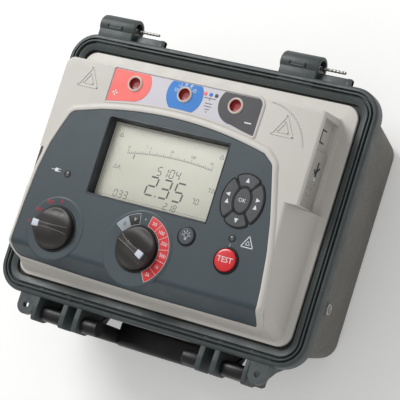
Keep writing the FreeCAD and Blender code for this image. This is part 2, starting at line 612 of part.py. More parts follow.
def make_fascia():
    """The dark fascia: a thin plate on the deck with a skirt down the front slope."""
    body = new_body("fascia_overlay")
    top_y = size.slope_top_y
    left = -size.fascia_left
    outline = [(left, top_y), (-131.0, top_y + 10.0), (-131.0, -46.9), (-129.0, -15.2),
               (-124.0, 10.0), (-117.5, 32.0), (-112.0, 41.9), (-84.6, 49.9), (-46.0, 55.0),
               (-6.7, 56.3), (33.0, 53.5), (59.4, 49.2), (83.1, 45.2), (92.5, 39.2),
               (99.5, 14.9), (106.7, -10.4), (112.0, -37.7), (size.fascia_right, top_y)]
    profile(body, "plate", "XY_Plane", size.deck_z, size.fascia_thick, outline)
    run = size.slope_top_y - size.slope_foot_y
    rise = size.deck_z - flange_top
    share = 0.6
    foot = (top_y - run * share, size.deck_z - rise * share)
    skirt = [(top_y, size.deck_z), foot, (foot[0] - 0.7, foot[1] + 0.4),
             (top_y - 0.3, fascia_top), (top_y + 0.5, fascia_top), (top_y + 0.5, size.deck_z)]
    profile(body, "skirt", "YZ_Plane", left, size.fascia_left + size.fascia_right, skirt)
    box(body, "display_hole", (size.display_left, size.display_right),
        (size.display_front, size.display_rear), (size.deck_z - 1.0, fascia_top + 1.0), cut=True)
    for name, x, y, radius in round_openings():
        rod(body, name, (x, y, size.deck_z - 1.0), 3.0, radius, cut=True)
    cut_pad_opening(body, size.free_gap)
    return body


def make_display_frame():
    """The dark funnel round the display."""
    body = new_body("display_frame")
    gap = size.seat_gap
    wall = size.display_wall
    x = (size.display_left + gap, size.display_right - gap)
    y = (size.display_front + gap, size.display_rear - gap)
    box(body, "outer", x, y, (size.window_z - 1.0, fascia_top))
    box(body, "inner", (x[0] + wall, x[1] - wall), (y[0] + wall, y[1] - wall),
        (size.window_z - 2.0, fascia_top + 1.0), cut=True)
    return body


def display_span(extra):
    """The space inside the display frame, less an extra margin."""
    margin = size.display_wall + size.seat_gap + extra
    return ((size.display_left + margin, size.display_right - margin),
            (size.display_front + margin, size.display_rear - margin))


def make_display_stack():
    """The clear window, the liquid crystal module under it and the module's board."""
    x, y = display_span(0.1)
    window = new_body("display_window")
    box(window, "pane", x, y, (size.window_z, size.window_z + size.window_thick))
    module = new_body("lcd_module")
    box(module, "module", x, y, (size.window_z - size.lcd_thick, size.window_z))
    board = new_body("display_board")
    box(board, "board", x, y, (size.window_z - size.lcd_thick - size.board_thick,
                               size.window_z - size.lcd_thick))
    return [window, module, board]


def turned(centre, along, aside, degrees):
    """A point beside a centre, given along and across a turned direction."""
    turn = math.radians(degrees)
    return (centre[0] + along * math.cos(turn) - aside * math.sin(turn),
            centre[1] + along * math.sin(turn) + aside * math.cos(turn))


# where each knob points at rest, in degrees from +X towards +Y
MODE_POINTER_DEGREES = 180
RANGE_POINTER_DEGREES = -24


def make_knob(prefix, centre, pointer_degrees):
    """A knob with its grip, pointer, shaft, rotary switch and seal ring."""
    low = fascia_top + 0.5
    x, y = centre
    knob = new_body(prefix + "_knob")
    rod(knob, "skirt", (x, y, low), size.knob_skirt, size.knob_radius)
    corners = [turned(centre, a * (size.knob_radius - 1.2), b * size.knob_grip / 2, pointer_degrees)
               for a, b in ((1, 1), (-1, 1), (-1, -1), (1, -1))]
    profile(knob, "grip", "XY_Plane", low, size.knob_height, corners)
    rod(knob, "shaft_bore", (x, y, low - 1.0), size.knob_skirt + 1.0, size.shaft_radius, cut=True)
    pointer = new_body(prefix + "_knob_pointer")
    spot = turned(centre, size.knob_radius - 5.0, 0.0, pointer_degrees)
    rod(pointer, "mark", (spot[0], spot[1], low + size.knob_height), 0.4, 1.7)
    shaft = new_body(prefix + "_knob_shaft")
    rod(shaft, "shaft", (x, y, size.switch_top - 6.0),
        low + size.knob_skirt - size.switch_top + 6.0, size.shaft_radius)
    switch = new_body(prefix + "_switch")
    rod(switch, "wafers", (x, y, board_top), size.switch_top - board_top, size.switch_radius)
    rod(switch, "bush", (x, y, size.switch_top), fascia_top - size.switch_top, size.bush_radius)
    rod(switch, "bore", (x, y, size.switch_top - 6.3), fascia_top - size.switch_top + 7.3,
        size.shaft_radius + size.running_gap, cut=True)
    ring = new_body(prefix + "_knob_seal")
    inner = size.knob_radius + size.free_gap
    rod(ring, "ring", (x, y, fascia_top), 1.0, inner + size.knob_ring)
    rod(ring, "ring_opening", (x, y, fascia_top - 1.0), 3.0, inner, cut=True)
    return [knob, pointer, shaft, switch, ring]


def make_arrow_key(name, ahead_x, ahead_y):
    """One quarter of the oval key pad, facing the given direction."""
    body = new_body(name)
    top = fascia_top + size.key_proud
    slab(body, "outer", around(size.pad_x, size.pad_half_x), around(size.pad_y, size.pad_half_y),
         (size.key_foot, top), size.pad_half_x - 0.2)
    slab(body, "inner", around(size.pad_x, size.pad_inner_x), around(size.pad_y, size.pad_inner_y),
         (size.key_foot - 1.0, top + 1.0), size.pad_inner_x - 0.2, cut=True)
    reach = 30.0
    rest = [(reach, reach), (0.0, 0.0), (-reach, reach), (-reach, -reach), (reach, -reach)]
    lift = size.key_gap * 0.7
    points = []
    for across_key, along_key in rest:
        along = along_key + lift
        points.append((size.pad_x + across_key * ahead_y + along * ahead_x,
                       size.pad_y - across_key * ahead_x + along * ahead_y))
    profile(body, "wedge", "XY_Plane", size.key_foot - 1.0, top - size.key_foot + 2.0, points,
            cut=True)
    return body


def make_keys():
    """The oval pad's four arrow keys and centre key, and the two round buttons."""
    keys = [make_arrow_key("up_key", 0, 1), make_arrow_key("down_key", 0, -1),
            make_arrow_key("left_key", -1, 0), make_arrow_key("right_key", 1, 0)]
    top = fascia_top + size.key_proud
    centre = new_body("ok_key")
    slab(centre, "cap", around(size.pad_x, size.ok_half_x), around(size.pad_y, size.ok_half_y),
         (size.key_foot, top), size.ok_half_x - 0.2)
    light = new_body("backlight_key")
    rod(light, "cap", (size.light_x, size.light_y, size.key_foot), top - size.key_foot,
        size.light_radius)
    test = new_body("test_button")
    rod(test, "cap", (size.test_x, size.test_y, size.key_foot),
        fascia_top + size.test_proud - size.key_foot, size.test_radius)
    rings = new_body("button_rings")
    for name, x, y, radius in (("test", size.test_x, size.test_y, size.test_radius),
                               ("light", size.light_x, size.light_y, size.light_radius)):
        inner = radius + size.free_gap
        rod(rings, name + "_ring", (x, y, fascia_top), 0.9, inner + size.button_ring)
        rod(rings, name + "_opening", (x, y, fascia_top - 1.0), 3.0, inner, cut=True)
    return keys + [centre, light, test, rings]


def keypad_plate(body, name, low, high):
    """The L-shaped outline shared by the rubber mat and its board."""
    right = size.pad_x + size.pad_half_x + 2.0
    left = size.display_right + 4.0
    low_y = size.test_y - size.test_radius - 2.0
    top_y = size.pad_y + size.pad_half_y + 1.0
    light_low = size.light_y - size.light_radius - 2.0
    light_high = size.light_y + size.light_radius + 2.0
    outline = [(left, low_y), (right, low_y), (right, top_y), (left, top_y), (left, light_high),
               (size.light_x - size.light_radius - 2.0, light_high),
               (size.light_x - size.light_radius - 2.0, light_low), (left, light_low)]
    profile(body, name, "XY_Plane", low, as_size(high) - low, outline)


def make_keypad():
    """The rubber key mat and the small board that it lies on."""
    mat = new_body("keypad_mat")
    keypad_plate(mat, "mat", keypad_board_top, mat_top)
    rod(mat, "lamp_hole", (size.hv_lamp_x, size.hv_lamp_y, keypad_board_top - 1.0), 5.0,
        size.lamp_radius + size.seat_gap, cut=True)
    board = new_body("keypad_board")
    keypad_plate(board, "board", keypad_board_top - size.board_thick, keypad_board_top)
    return [mat, board]


def make_lamps():
    """The mains lamp on its light pipe and the high voltage lamp."""
    power = new_body("power_lamp")
    rod(power, "pipe", (size.power_lamp_x, size.power_lamp_y, board_top),
        fascia_top + 0.5 - board_top, size.lamp_radius)
    hv = new_body("high_voltage_lamp")
    rod(hv, "pipe", (size.hv_lamp_x, size.hv_lamp_y, keypad_board_top),
        fascia_top + 0.5 - keypad_board_top, size.lamp_radius)
    return [power, hv]


# ------------------------------------------------------------------ terminals and shutter
def make_labels():
    """The terminal label strip and the three coloured labels printed as thin inlays."""
    strip_floor = size.deck_z - size.strip_thick
    low, high = strip_floor, size.deck_z - 0.3
    hole = size.ring_radius + size.seat_gap
    strip = new_body("label_strip")
    slab(strip, "strip", (size.strip_left + 0.1, size.strip_right - 0.1),
         (size.strip_front + 0.1, size.strip_rear - 0.1), (low, high), 3.9)
    for number, x in enumerate(terminal_places()):
        rod(strip, "hole_%d" % number, (x, size.terminal_y, low - 1.0), 3.0, hole, cut=True)
    left, middle, right = terminal_places()
    spans = {"positive_label": (size.strip_left + 0.5, left + 16.0),
             "guard_label": (middle - 18.0, middle + 18.0),
             "negative_label": (right - 17.0, size.strip_right - 0.5)}
    labels = [strip]
    for (name, span), x in zip(spans.items(), (left, middle, right)):
        label = new_body(name)
        slab(label, "inlay", span, (size.strip_front + 0.6, size.strip_rear - 0.6),
             (high, size.deck_z), 3.0)
        rod(label, "hole", (x, size.terminal_y, high - 1.0), 3.0, hole, cut=True)
        labels.append(label)
    return labels


def make_terminals():
    """The collars, the sockets behind the shutter and the block that holds them."""
    strip_floor = size.deck_z - size.strip_thick
    rings = new_body("terminal_collars")
    sockets = new_body("terminal_sockets")
    block = new_body("terminal_block")
    box(block, "block", (size.strip_left + 12.0, size.strip_right - 9.0),
        around(size.terminal_y - 1.0, 10.0), (board_top, size.socket_top - 3.0))
    for number, x in enumerate(terminal_places()):
        place = (x, size.terminal_y)
        rod(rings, "flange_%d" % number, place + (strip_floor,),
            size.strip_thick + size.ring_proud, size.ring_radius)
        rod(rings, "sleeve_%d" % number, place + (deck_under,), strip_floor - deck_under,
            size.ring_sleeve)
        rod(rings, "bore_%d" % number, place + (deck_under - 1.0,), 8.0, size.terminal_bore,
            cut=True)
        rod(block, "seat_%d" % number, place + (board_top + 2.0,), 30.0,
            size.socket_radius + 0.02, cut=True)
        rod(sockets, "socket_%d" % number, place + (board_top + 2.0,),
            size.socket_top - board_top - 2.0, size.socket_radius)
        rod(sockets, "socket_bore_%d" % number, place + (board_top + 4.0,), 30.0,
            size.socket_bore, cut=True)
    return [rings, sockets, block]


def make_shutter_plate():
    """The red plate that closes the terminals, its arm and the pin that follows the cam slot."""
    body = new_body("shutter_plate")
    low = shutter_top - size.shutter_thick
    left, middle, right = terminal_places()
    half_depth = 9.0
    box(body, "plate", (left - 8.0, size.shutter_pin_x + 6.0),
        around(size.terminal_y, half_depth), (low, shutter_top))
    box(body, "arm", around(size.shutter_pin_x, 6.0),
        (size.shutter_pin_y - 5.0, size.terminal_y), (low, shutter_top))
    rod(body, "pin", (size.shutter_pin_x, size.shutter_pin_y,
                      size.link_top - size.link_thick - 0.4),
        low - size.link_top + size.link_thick + 0.4, size.shutter_pin_radius)
    for number, x in enumerate((left, middle, right)):
        rod(body, "window_%d" % number, (x + shutter_shift, size.terminal_y, low - 1.0), 4.0,
            size.terminal_bore + 0.2, cut=True)
    return body


def make_shutter_slider():
    """The thumb slider in the side channel and its link plate with the slanted cam slot."""
    body = new_body("shutter_slider")
    gap = size.free_gap
    front = size.channel_front + gap
    box(body, "thumb", (size.channel_floor + gap, size.deck_right - 0.4),
        (front, front + size.slider_length), (size.channel_low + gap, size.channel_high - gap))
    link_low = size.link_top - size.link_thick
    pin_x, pin_y = size.shutter_pin_x, size.shutter_pin_y
    margin = size.shutter_pin_radius + 3.5
    box(body, "link", (pin_x - shutter_shift - margin, size.channel_floor + 1.0),
        (pin_y - size.shutter_travel - margin, pin_y + margin), (link_low, size.link_top))
    slot_slant = math.hypot(1.0, size.shutter_ratio.number)
    half = (size.shutter_pin_radius + gap) * slot_slant
    over = size.shutter_pin_radius + 0.5
    slant = size.shutter_ratio
    slot = [(pin_x - shutter_shift - half - slant * over, pin_y - size.shutter_travel - over),
            (pin_x - shutter_shift + half - slant * over, pin_y - size.shutter_travel - over),
            (pin_x + half + slant * over, pin_y + over),
            (pin_x - half + slant * over, pin_y + over)]
    profile(body, "cam_slot", "XY_Plane", link_low - 1.0, size.link_thick + 2.0, slot, cut=True)
    return body


# ------------------------------------------------------------------ electronics
def make_boards():
    """The main board and the pillars that carry the other boards."""
    board = new_body("main_board")
    box(board, "board", (-126.0, size.shutter_pin_x), (-74.0, 88.0), (size.board_z, board_top))
    for number, (sx, sy) in enumerate(SCREW_CORNERS):
        rod(board, "post_clearance_%d" % number, (screw_x * sx, screw_y * sy, size.board_z - 1.0),
            4.0, size.post_radius + size.free_gap, cut=True)
    pillars = new_body("board_pillars")
    display_low = size.window_z - size.lcd_thick - size.board_thick
    keypad_low = keypad_board_top - size.board_thick
    x, y = display_span(5.0)
    for number, place in enumerate([(px, py) for px in x for py in y]):
        rod(pillars, "display_pillar_%d" % number, place + (board_top,), display_low - board_top,
            size.pillar_radius)
    left = size.display_right + 8.0
    right = size.pad_x + size.pad_half_x - 3.0
    spots = [(left, size.test_y), (right, size.test_y - 6.0), (left, size.pad_y + 18.0),
             (right - 8.0, size.pad_y)]
    for number, place in enumerate(spots):
        rod(pillars, "keypad_pillar_%d" % number, place + (board_top,), keypad_low - board_top,
            size.pillar_radius)
    rod(pillars, "deck_pillar_left", (-115.0, 60.0, board_top), deck_under - board_top,
        size.pillar_radius)
    rod(pillars, "deck_pillar_front", (-40.0, -68.0, board_top), deck_under - board_top,
        size.pillar_radius)
    rod(pillars, "deck_pillar_mid", (32.0, -66.0, board_top), deck_under - board_top,
        size.pillar_radius)
    return [board, pillars]


def make_inlet():
    """The mains inlet in the left wall and its three pins."""
    wall_x = size.inlet_depth - size.deck_left
    y = (size.inlet_front + size.inlet_rear) / 2
    low = board_top + size.free_gap
    body = new_body("mains_inlet")
    box(body, "flange", (wall_x - 1.6, wall_x), around(y, size.inlet_width / 2 + 3.0),
        (low - 3.0, low + size.inlet_height + 3.0))
    box(body, "shell", (wall_x - 0.5, wall_x + 21.0), around(y, size.inlet_width / 2),
        (low, low + size.inlet_height))
    box(body, "cavity", (wall_x - 3.0, wall_x + 16.0), around(y, size.inlet_width / 2 - 1.5),
        (low + 1.8, low + size.inlet_height - 1.8), cut=True)
    pins = new_body("inlet_pins")
    for name, dy, dz in (("line", -7.0, 7.0), ("neutral", 7.0, 7.0), ("earth", 0.0, 11.0)):
        box(pins, name, (wall_x + 2.0, wall_x + 16.0), around(y + dy, 1.0),
            around(low + dz, 2.0))
    return [body, pins]


def make_usb_socket():
    """The square computer socket in the side channel's floor."""
    body = new_body("usb_socket")
    front = size.channel_floor
    box(body, "shell", (front - size.usb_length, front), around(size.usb_y, size.usb_width / 2),
        (board_top, board_top + size.usb_height))
    box(body, "mouth", (front - 10.0, front + 1.0),
        around(size.usb_y, size.usb_width / 2 - 1.2),
        (board_top + 1.2, board_top + size.usb_height - 1.2), cut=True)
    return body


def make_power_parts():
    """The battery with its strap, the high voltage module, transformer, relays and buzzer."""
    battery = new_body("battery_pack")
    battery_y = (-92.0, -27.0)
    battery_top = floor_top + 62.0
    box(battery, "cells", (-76.0, 76.0), battery_y, (floor_top, battery_top))
    strap = new_body("battery_strap")
    outer_y = (battery_y[0] - 2.0, battery_y[1] + 2.0)
    box(strap, "bridge", (-12.0, 12.0), outer_y, (floor_top, battery_top + 2.0))
    box(strap, "span", (-13.0, 13.0), battery_y, (floor_top - 1.0, battery_top), cut=True)
    box(strap, "foot_rear", (-12.0, 12.0), (outer_y[1], outer_y[1] + 12.0),
        (floor_top, floor_top + 2.0))
    module = new_body("high_voltage_module")
    box(module, "potting", (-105.0, -15.0), (0.0, 74.0), (floor_top, floor_top + 45.0))
    transformer = new_body("transformer_core")
    winding = new_body("transformer_winding")
    box(transformer, "core", (20.0, 84.0), (8.0, 62.0), (floor_top, floor_top + 50.0))
    for name, span in (("window_left", (31.0, 45.0)), ("window_right", (59.0, 73.0))):
        box(transformer, name, span, (7.0, 63.0), (floor_top + 12.0, floor_top + 38.0), cut=True)
    box(winding, "winding", (32.0, 72.0), (0.0, 70.0), (floor_top + 13.0, floor_top + 37.0))
    box(winding, "leg", (45.0, 59.0), (8.0, 62.0), (floor_top + 12.0, floor_top + 38.0), cut=True)
    relays = new_body("high_voltage_relays")
    for number in range(3):
        start = -58.0 + 36.0 * number
        box(relays, "relay_%d" % number, (start, start + 24.0), (50.0, 62.0),
            (board_top, board_top + 7.0))
    buzzer = new_body("buzzer")
    rod(buzzer, "can", (-50.0, -50.0, board_top), 8.0, 6.0)
    return [battery, strap, module, transformer, winding, relays, buzzer]


def export(bodies):
    """Check every object, then write one file for each node."""
    doc.recompute()
    for thing in doc.Objects:
        if "Invalid" in thing.State or "Error" in thing.State:
            raise RuntimeError("%s of %s: %s" % (thing.Name, thing.Label, thing.State))
    for body in bodies:
        if body.Shape.isNull() or not body.Shape.isValid():
            raise RuntimeError("bad shape: " + body.Label)
    os.makedirs("parts", exist_ok=True)
    for body in bodies:
        body.Shape.exportStep("parts/%s.step" % body.Label)
        bounds = body.Shape.BoundBox
        print("%-22s %d solid(s) %9.0f mm3  x %.1f %.1f  y %.1f %.1f  z %.1f %.1f" % (
            body.Label, len(body.Shape.Solids), body.Shape.Volume, bounds.XMin, bounds.XMax,
            bounds.YMin, bounds.YMax, bounds.ZMin, bounds.ZMax))


panel = make_instrument_panel()
cut_pad_opening(panel, size.free_gap + 0.2)
nodes = [make_case_shell(), make_rubber_feet(), make_case_screws(), make_panel_seal(),
         make_vent_valve(), make_hinge_pins(), make_latch_pins(), make_handle_pins(),
         make_carry_handle(), make_latch("left", -1), make_latch("right", 1), panel,
         make_fascia(), make_display_frame(), make_shutter_plate(), make_shutter_slider(),
         make_usb_socket()]
nodes += make_display_stack()
nodes += make_knob("mode", (size.mode_x, size.mode_y), MODE_POINTER_DEGREES)
nodes += make_knob("range", (size.range_x, size.range_y), RANGE_POINTER_DEGREES)
nodes += make_keys() + make_keypad() + make_lamps()
nodes += make_labels() + make_terminals() + make_boards() + make_inlet() + make_power_parts()
export(nodes)
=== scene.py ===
import math

import bmesh
import bpy
import numpy as np
from bpy.props import FloatProperty, FloatVectorProperty, PointerProperty
from mathutils import Matrix, Vector
from mathutils.geometry import tessellate_polygon


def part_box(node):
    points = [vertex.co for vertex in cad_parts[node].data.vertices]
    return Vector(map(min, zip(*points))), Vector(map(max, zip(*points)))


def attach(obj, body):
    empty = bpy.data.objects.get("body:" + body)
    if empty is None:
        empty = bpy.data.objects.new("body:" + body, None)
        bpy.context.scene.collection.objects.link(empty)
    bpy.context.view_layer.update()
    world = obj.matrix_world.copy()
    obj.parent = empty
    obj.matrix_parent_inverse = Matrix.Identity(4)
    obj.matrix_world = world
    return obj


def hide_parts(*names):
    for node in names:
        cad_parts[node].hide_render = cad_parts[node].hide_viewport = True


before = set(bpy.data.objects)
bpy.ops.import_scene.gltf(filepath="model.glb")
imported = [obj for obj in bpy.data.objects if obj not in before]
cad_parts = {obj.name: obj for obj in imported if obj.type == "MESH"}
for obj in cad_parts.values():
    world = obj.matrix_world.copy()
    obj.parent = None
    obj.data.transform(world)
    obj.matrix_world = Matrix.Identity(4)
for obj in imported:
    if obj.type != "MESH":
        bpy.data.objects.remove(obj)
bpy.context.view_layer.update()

bl_info = {
    "name": "Insulation resistance tester",
    "version": (1, 0, 0),
    "blender": (4, 5, 0),
    "location": "View3D > Sidebar > Tester",
    "description": "Builds the finished surfaces of a cased insulation resistance tester",
    "category": "Object",
}

MM = 0.001
AIM = (-0.0074, 0.0031, 0.0543)  # the point that the camera looks at, in metres
HINGE_Y, HINGE_Z = 135.5, 95.0  # line of the rear hinge
STRIP_SETBACK = 8.3  # from the fascia's rear edge to the terminal strip
RAMP_START, RAMP_RISE, RAMP_BLEND = -84.0, 1.7, 1.2  # front slope of the deck
TRIANGLE = (90, 210, 330)  # directions of a triangle's corners


def span(node):
    """Lowest and highest corner of a designed part, in millimetres."""
    low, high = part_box(node)
    return np.array(low) / MM, np.array(high) / MM


def middle(node):
    """Centre of a designed part seen from above, in millimetres."""
    low, high = span(node)
    return (low + high)[:2] / 2


def disc_of(node):
    """Centre, radius, underside and top of a round upright part, in millimetres."""
    (x0, y0, low), (x1, y1, high) = span(node)
    return ((x0 + x1) / 2, (y0 + y1) / 2), (x1 - x0) / 2, low, high


def paint(red, green, blue):
    """A colour given as 0 to 255 display values, as linear light with full cover."""
    c = np.array([red, green, blue]) / 255
    linear = np.where(c <= 0.04045, c / 12.92, ((c + 0.055) / 1.055) ** 2.4)
    return (*[float(v) for v in linear], 1.0)


# ---------------------------------------------------------------- sizes and colours


def length(name, description, millimetres, low=0.0, high=500.0):
    """A length property: shown in the scene's units, kept in metres."""
    return FloatProperty(name=name, description=description, default=millimetres * MM,
                         min=low * MM, max=high * MM, unit="LENGTH", subtype="DISTANCE",
                         precision=5)


def colour(name, description, red, green, blue):
    """A colour property, given as 0 to 255 display values."""
    return FloatVectorProperty(name=name, description=description, subtype="COLOR", size=4,
                               min=0.0, max=1.0, default=paint(red, green, blue))


def angle(name, description, degrees):
    """An angle property."""
    return FloatProperty(name=name, description=description, default=math.radians(degrees),
                         subtype="ANGLE", unit="ROTATION")


class TesterSizes(bpy.types.PropertyGroup):
    """Sizes that shape the finished surfaces."""

    rim_half_depth: length("Rim half depth", "Half the depth of the case rim", 124.0)
    rim_corner: length("Rim corner", "Plan radius of the rim's corners", 25.0)
    tub_half_width: length("Tub half width", "Half the width of the case at its bottom", 142.0)
    tub_half_depth: length("Tub half depth", "Half the depth of the case at its bottom", 102.0)
    skirt_foot: length("Skirt foot", "Height at which the rim's skirt ends", 91.0)
    wall_draft: angle("Wall draft", "Lean of the case walls", 7.4)
    deck_height: length("Deck height", "Height of the raised instrument deck", 137.0)
    flange_height: length("Flange height", "Height of the panel's flange", 103.0)
    bezel_width: length("Bezel width", "Width of the raised band round the fascia", 7.0)
    bezel_rise: length("Bezel rise", "Height of the raised band over the deck", 1.7)
    fascia_thick: length("Fascia thickness", "Thickness of the dark fascia", 0.8)
    fin_half_width: length("Fin half width", "Half the width of a knob's finger fin", 1.7)
    knob_plate: length("Knob plate", "Height of a knob's low rim", 3.4)
    key_travel: length("Key travel", "How far keys and buttons are pressed", 0.8)
    outline_width: length("Key outline", "Width of the black line round a key", 1.0)
    digit_height: length("Digit height", "Height of the large display digits", 16.5)


class TesterColours(bpy.types.PropertyGroup):
    """Colours of the finishes."""

    case: colour("Case", "Moulded rim, ribs and knuckles", 60, 67, 67)
    wall: colour("Case wall", "Grained walls of the case", 104, 101, 96)
    panel: colour("Panel", "Light moulding of the instrument panel", 206, 202, 196)
    fascia: colour("Fascia", "Printed film round the controls", 58, 71, 77)
    knob: colour("Knob", "Rotary knobs", 46, 43, 41)
    key: colour("Key", "Rubber keys", 82, 84, 88)
    display: colour("Display", "Liquid crystal display", 220, 218, 204)
    segment: colour("Segment", "Display segments", 104, 104, 100)
    positive: colour("Positive", "Label of the positive terminal", 250, 108, 102)
    guard: colour("Guard", "Label of the guard terminal", 8, 120, 205)
    negative: colour("Negative", "Label of the negative terminal", 60, 58, 62)
    test: colour("Test button", "Red push button", 222, 34, 42)


class TesterView(bpy.types.PropertyGroup):
    """Where the camera stands."""

    azimuth: angle("Azimuth", "Turn of the camera round the tester", 77.13)
    elevation: angle("Elevation", "Height of the camera over the horizon", 61.10)
    roll: angle("Roll", "Turn of the camera about its own line of sight", -61.20)
    distance: length("Distance", "From the camera to the point it looks at", 1542.0, 0, 5000)
    lens: FloatProperty(name="Lens", description="Focal length in millimetres",
                        default=153.0, min=20.0, max=500.0)


def sizes():
    """The size properties of the scene."""
    return bpy.context.scene.tester_sizes


def mm(name):
    """A size property in millimetres."""
    return getattr(sizes(), name) / MM


def tint(name):
    """A colour property as four numbers."""
    return tuple(getattr(bpy.context.scene.tester_colours, name))


# ---------------------------------------------------------------- surfaces


def soft_path(corners, radii, steps=5):
    """Closed chains of straight lines with rounded corners.

    Each corner is left and rejoined at r * tan(turn / 2) along its two lines. Between them the
    points follow a circular arc: the mean of leaving point, corner and rejoining point with the
    weights (1 - t)^2, 2 t (1 - t) cos(turn / 2) and t^2. Works on any stack of chains at once.
    """
    p = np.asarray(corners, float)
    r = np.broadcast_to(np.asarray(radii, float), p.shape[:-1])
    back = np.roll(p, 1, -2) - p
    ahead = np.roll(p, -1, -2) - p
    back_length = np.linalg.norm(back, axis=-1)
    ahead_length = np.linalg.norm(ahead, axis=-1)
    back = back / np.maximum(back_length, 1e-9)[..., None]
    ahead = ahead / np.maximum(ahead_length, 1e-9)[..., None]
    half = 0.5 * np.arccos(np.clip(-(back * ahead).sum(-1), -1, 1))
    room = 0.49 * np.minimum(back_length, ahead_length)
    cut = np.minimum(r * np.tan(np.minimum(half, 1.5)), room)
    leave = (p + back * cut[..., None])[..., None, :]
    rejoin = (p + ahead * cut[..., None])[..., None, :]
    t = np.linspace(0, 1, steps)[:, None]
    a = (1 - t) ** 2
    b = 2 * t * (1 - t) * np.cos(half)[..., None, None]
    c = t ** 2
    points = (a * leave + b * p[..., None, :] + c * rejoin) / (a + b + c)
    return points.reshape(*p.shape[:-2], p.shape[-2] * steps, 2)


def clean(outline):
    """An outline without repeated points, turned counter-clockwise."""
    outline = np.asarray(outline, float)
    outline = outline[np.linalg.norm(outline - np.roll(outline, 1, 0), axis=1) > 1e-4]
    x, y = outline.T
    area = (x * np.roll(y, -1) - y * np.roll(x, -1)).sum()
    return outline if area > 0 else outline[::-1]


def oblong(low, high, radius, steps=8):
    """A rounded rectangle between two corners, counter-clockwise."""
    (x0, y0), (x1, y1) = low, high
    return clean(soft_path([(x0, y0), (x1, y0), (x1, y1), (x0, y1)], radius, steps))


def compass(degrees):
    """Points of the unit circle at angles in degrees: (cos, sin)."""
    a = np.radians(degrees)
    return np.stack([np.cos(a), np.sin(a)], -1)


def round_outline(centre, radius, count=64, first=0.0):
    """A circle, or an ellipse where radius is a pair: centre plus radius times (cos, sin)."""
    turn = np.linspace(0, 2 * math.pi, count, endpoint=False) + first
    return np.asarray(centre) + np.asarray(radius) * np.stack([np.cos(turn), np.sin(turn)], 1)


def outward(outline):
    """The step that moves both lines at a point out by one: (n1 + n2) / (1 + n1 . n2)."""
    ahead = np.roll(outline, -1, 0) - outline
    ahead /= np.maximum(np.linalg.norm(ahead, axis=1), 1e-9)[:, None]
    normal = np.stack([ahead[:, 1], -ahead[:, 0]], 1)
    before = np.roll(normal, 1, 0)
    return (normal + before) / np.maximum(1 + (normal * before).sum(1), 0.4)[:, None]


def grid(points, closed_rows=False, closed_columns=False, caps=False, mark=0):
    """A surface through a rows by columns grid of points, as (points, faces, finish number).

    Four-sided faces join neighbouring points; a closed direction joins its last line to its
    first, and caps shut the first and last row with one flat face each.
    """
    rows, columns = points.shape[:2]
    r = np.arange(rows if closed_rows else rows - 1)[:, None]
    c = np.arange(columns if closed_columns else columns - 1)[None, :]
    r2, c2 = (r + 1) % rows, (c + 1) % columns
    quads = np.stack([r * columns + c, r * columns + c2, r2 * columns + c2, r2 * columns + c], -1)
    faces = quads.reshape(-1, 4).tolist()
    if caps:
        faces.append(list(range(columns))[::-1])
        faces.append([(rows - 1) * columns + i for i in range(columns)])
    return points.reshape(-1, 3), faces, mark


def carry(outline, profile, ground=None, caps=False, mark=0):
    """A profile of (outward offset, height) carried along a closed outline.

    Point (k, s) is outline(s) + outward(s) * offset(k), at height(k), plus ground(x, y) if the
    surface follows one. Without caps the profile itself is a closed loop.
    """
    outline = clean(outline)
    profile = np.asarray(profile, float)
    step = outward(outline)
    flat = outline[None] + step[None] * profile[:, 0, None, None]
    height = np.broadcast_to(profile[:, 1, None], flat.shape[:2]).copy()
    if ground is not None:
        height += ground(flat[..., 0], flat[..., 1])
    points = np.concatenate([flat, height[..., None]], -1)
    return grid(points, closed_rows=not caps, closed_columns=True, caps=caps, mark=mark)


def plate(outline, low, high, soft=0.3, mark=0, ground=None):
    """A solid plate over an outline, its upper edge rounded with a quarter circle."""
    t = np.linspace(0, math.pi / 2, 5)
    edge = np.stack([soft * (np.cos(t) - 1), high - soft + soft * np.sin(t)], 1)
    return carry(outline, np.vstack([[(0, low)], edge]), ground, caps=True, mark=mark)


def holed_plate(outer, holes, low, high, mark=0):
    """A flat plate with holes: both faces filled between the outlines, walls along each one."""
    loops = [clean(outer)] + [clean(hole) for hole in holes]
    flat = [[Vector((x, y, 0)) for x, y in loop] for loop in loops]
    triangles = [list(t) for t in tessellate_polygon(flat)]
    xy = np.vstack(loops)
    count = len(xy)
    points = np.vstack([np.c_[xy, np.full(count, low)], np.c_[xy, np.full(count, high)]])
    faces = [t[::-1] for t in triangles] + [[i + count for i in t] for t in triangles]
    start = 0
    for loop in loops:
        i = np.arange(len(loop))
        j = (i + 1) % len(loop)
        i, j = i + start, j + start
        faces += np.stack([i, j, j + count, i + count], 1).tolist()
        start += len(loop)
    return points, faces, mark


def lathe(profile, centre, steps=48, closed=False, mark=0):
    """A profile of (radius, height) turned about the upright line through centre.

    An open profile starts and ends at radius nought, so both poles close.
    """
    profile = np.asarray(profile, float)
    turn = np.linspace(0, 2 * math.pi, steps, endpoint=False)
    x = centre[0] + profile[:, 0, None] * np.cos(turn)
    y = centre[1] + profile[:, 0, None] * np.sin(turn)
    z = np.broadcast_to(profile[:, 1, None], x.shape)
    return grid(np.stack([x, y, z], -1), closed_rows=closed, closed_columns=True, mark=mark)


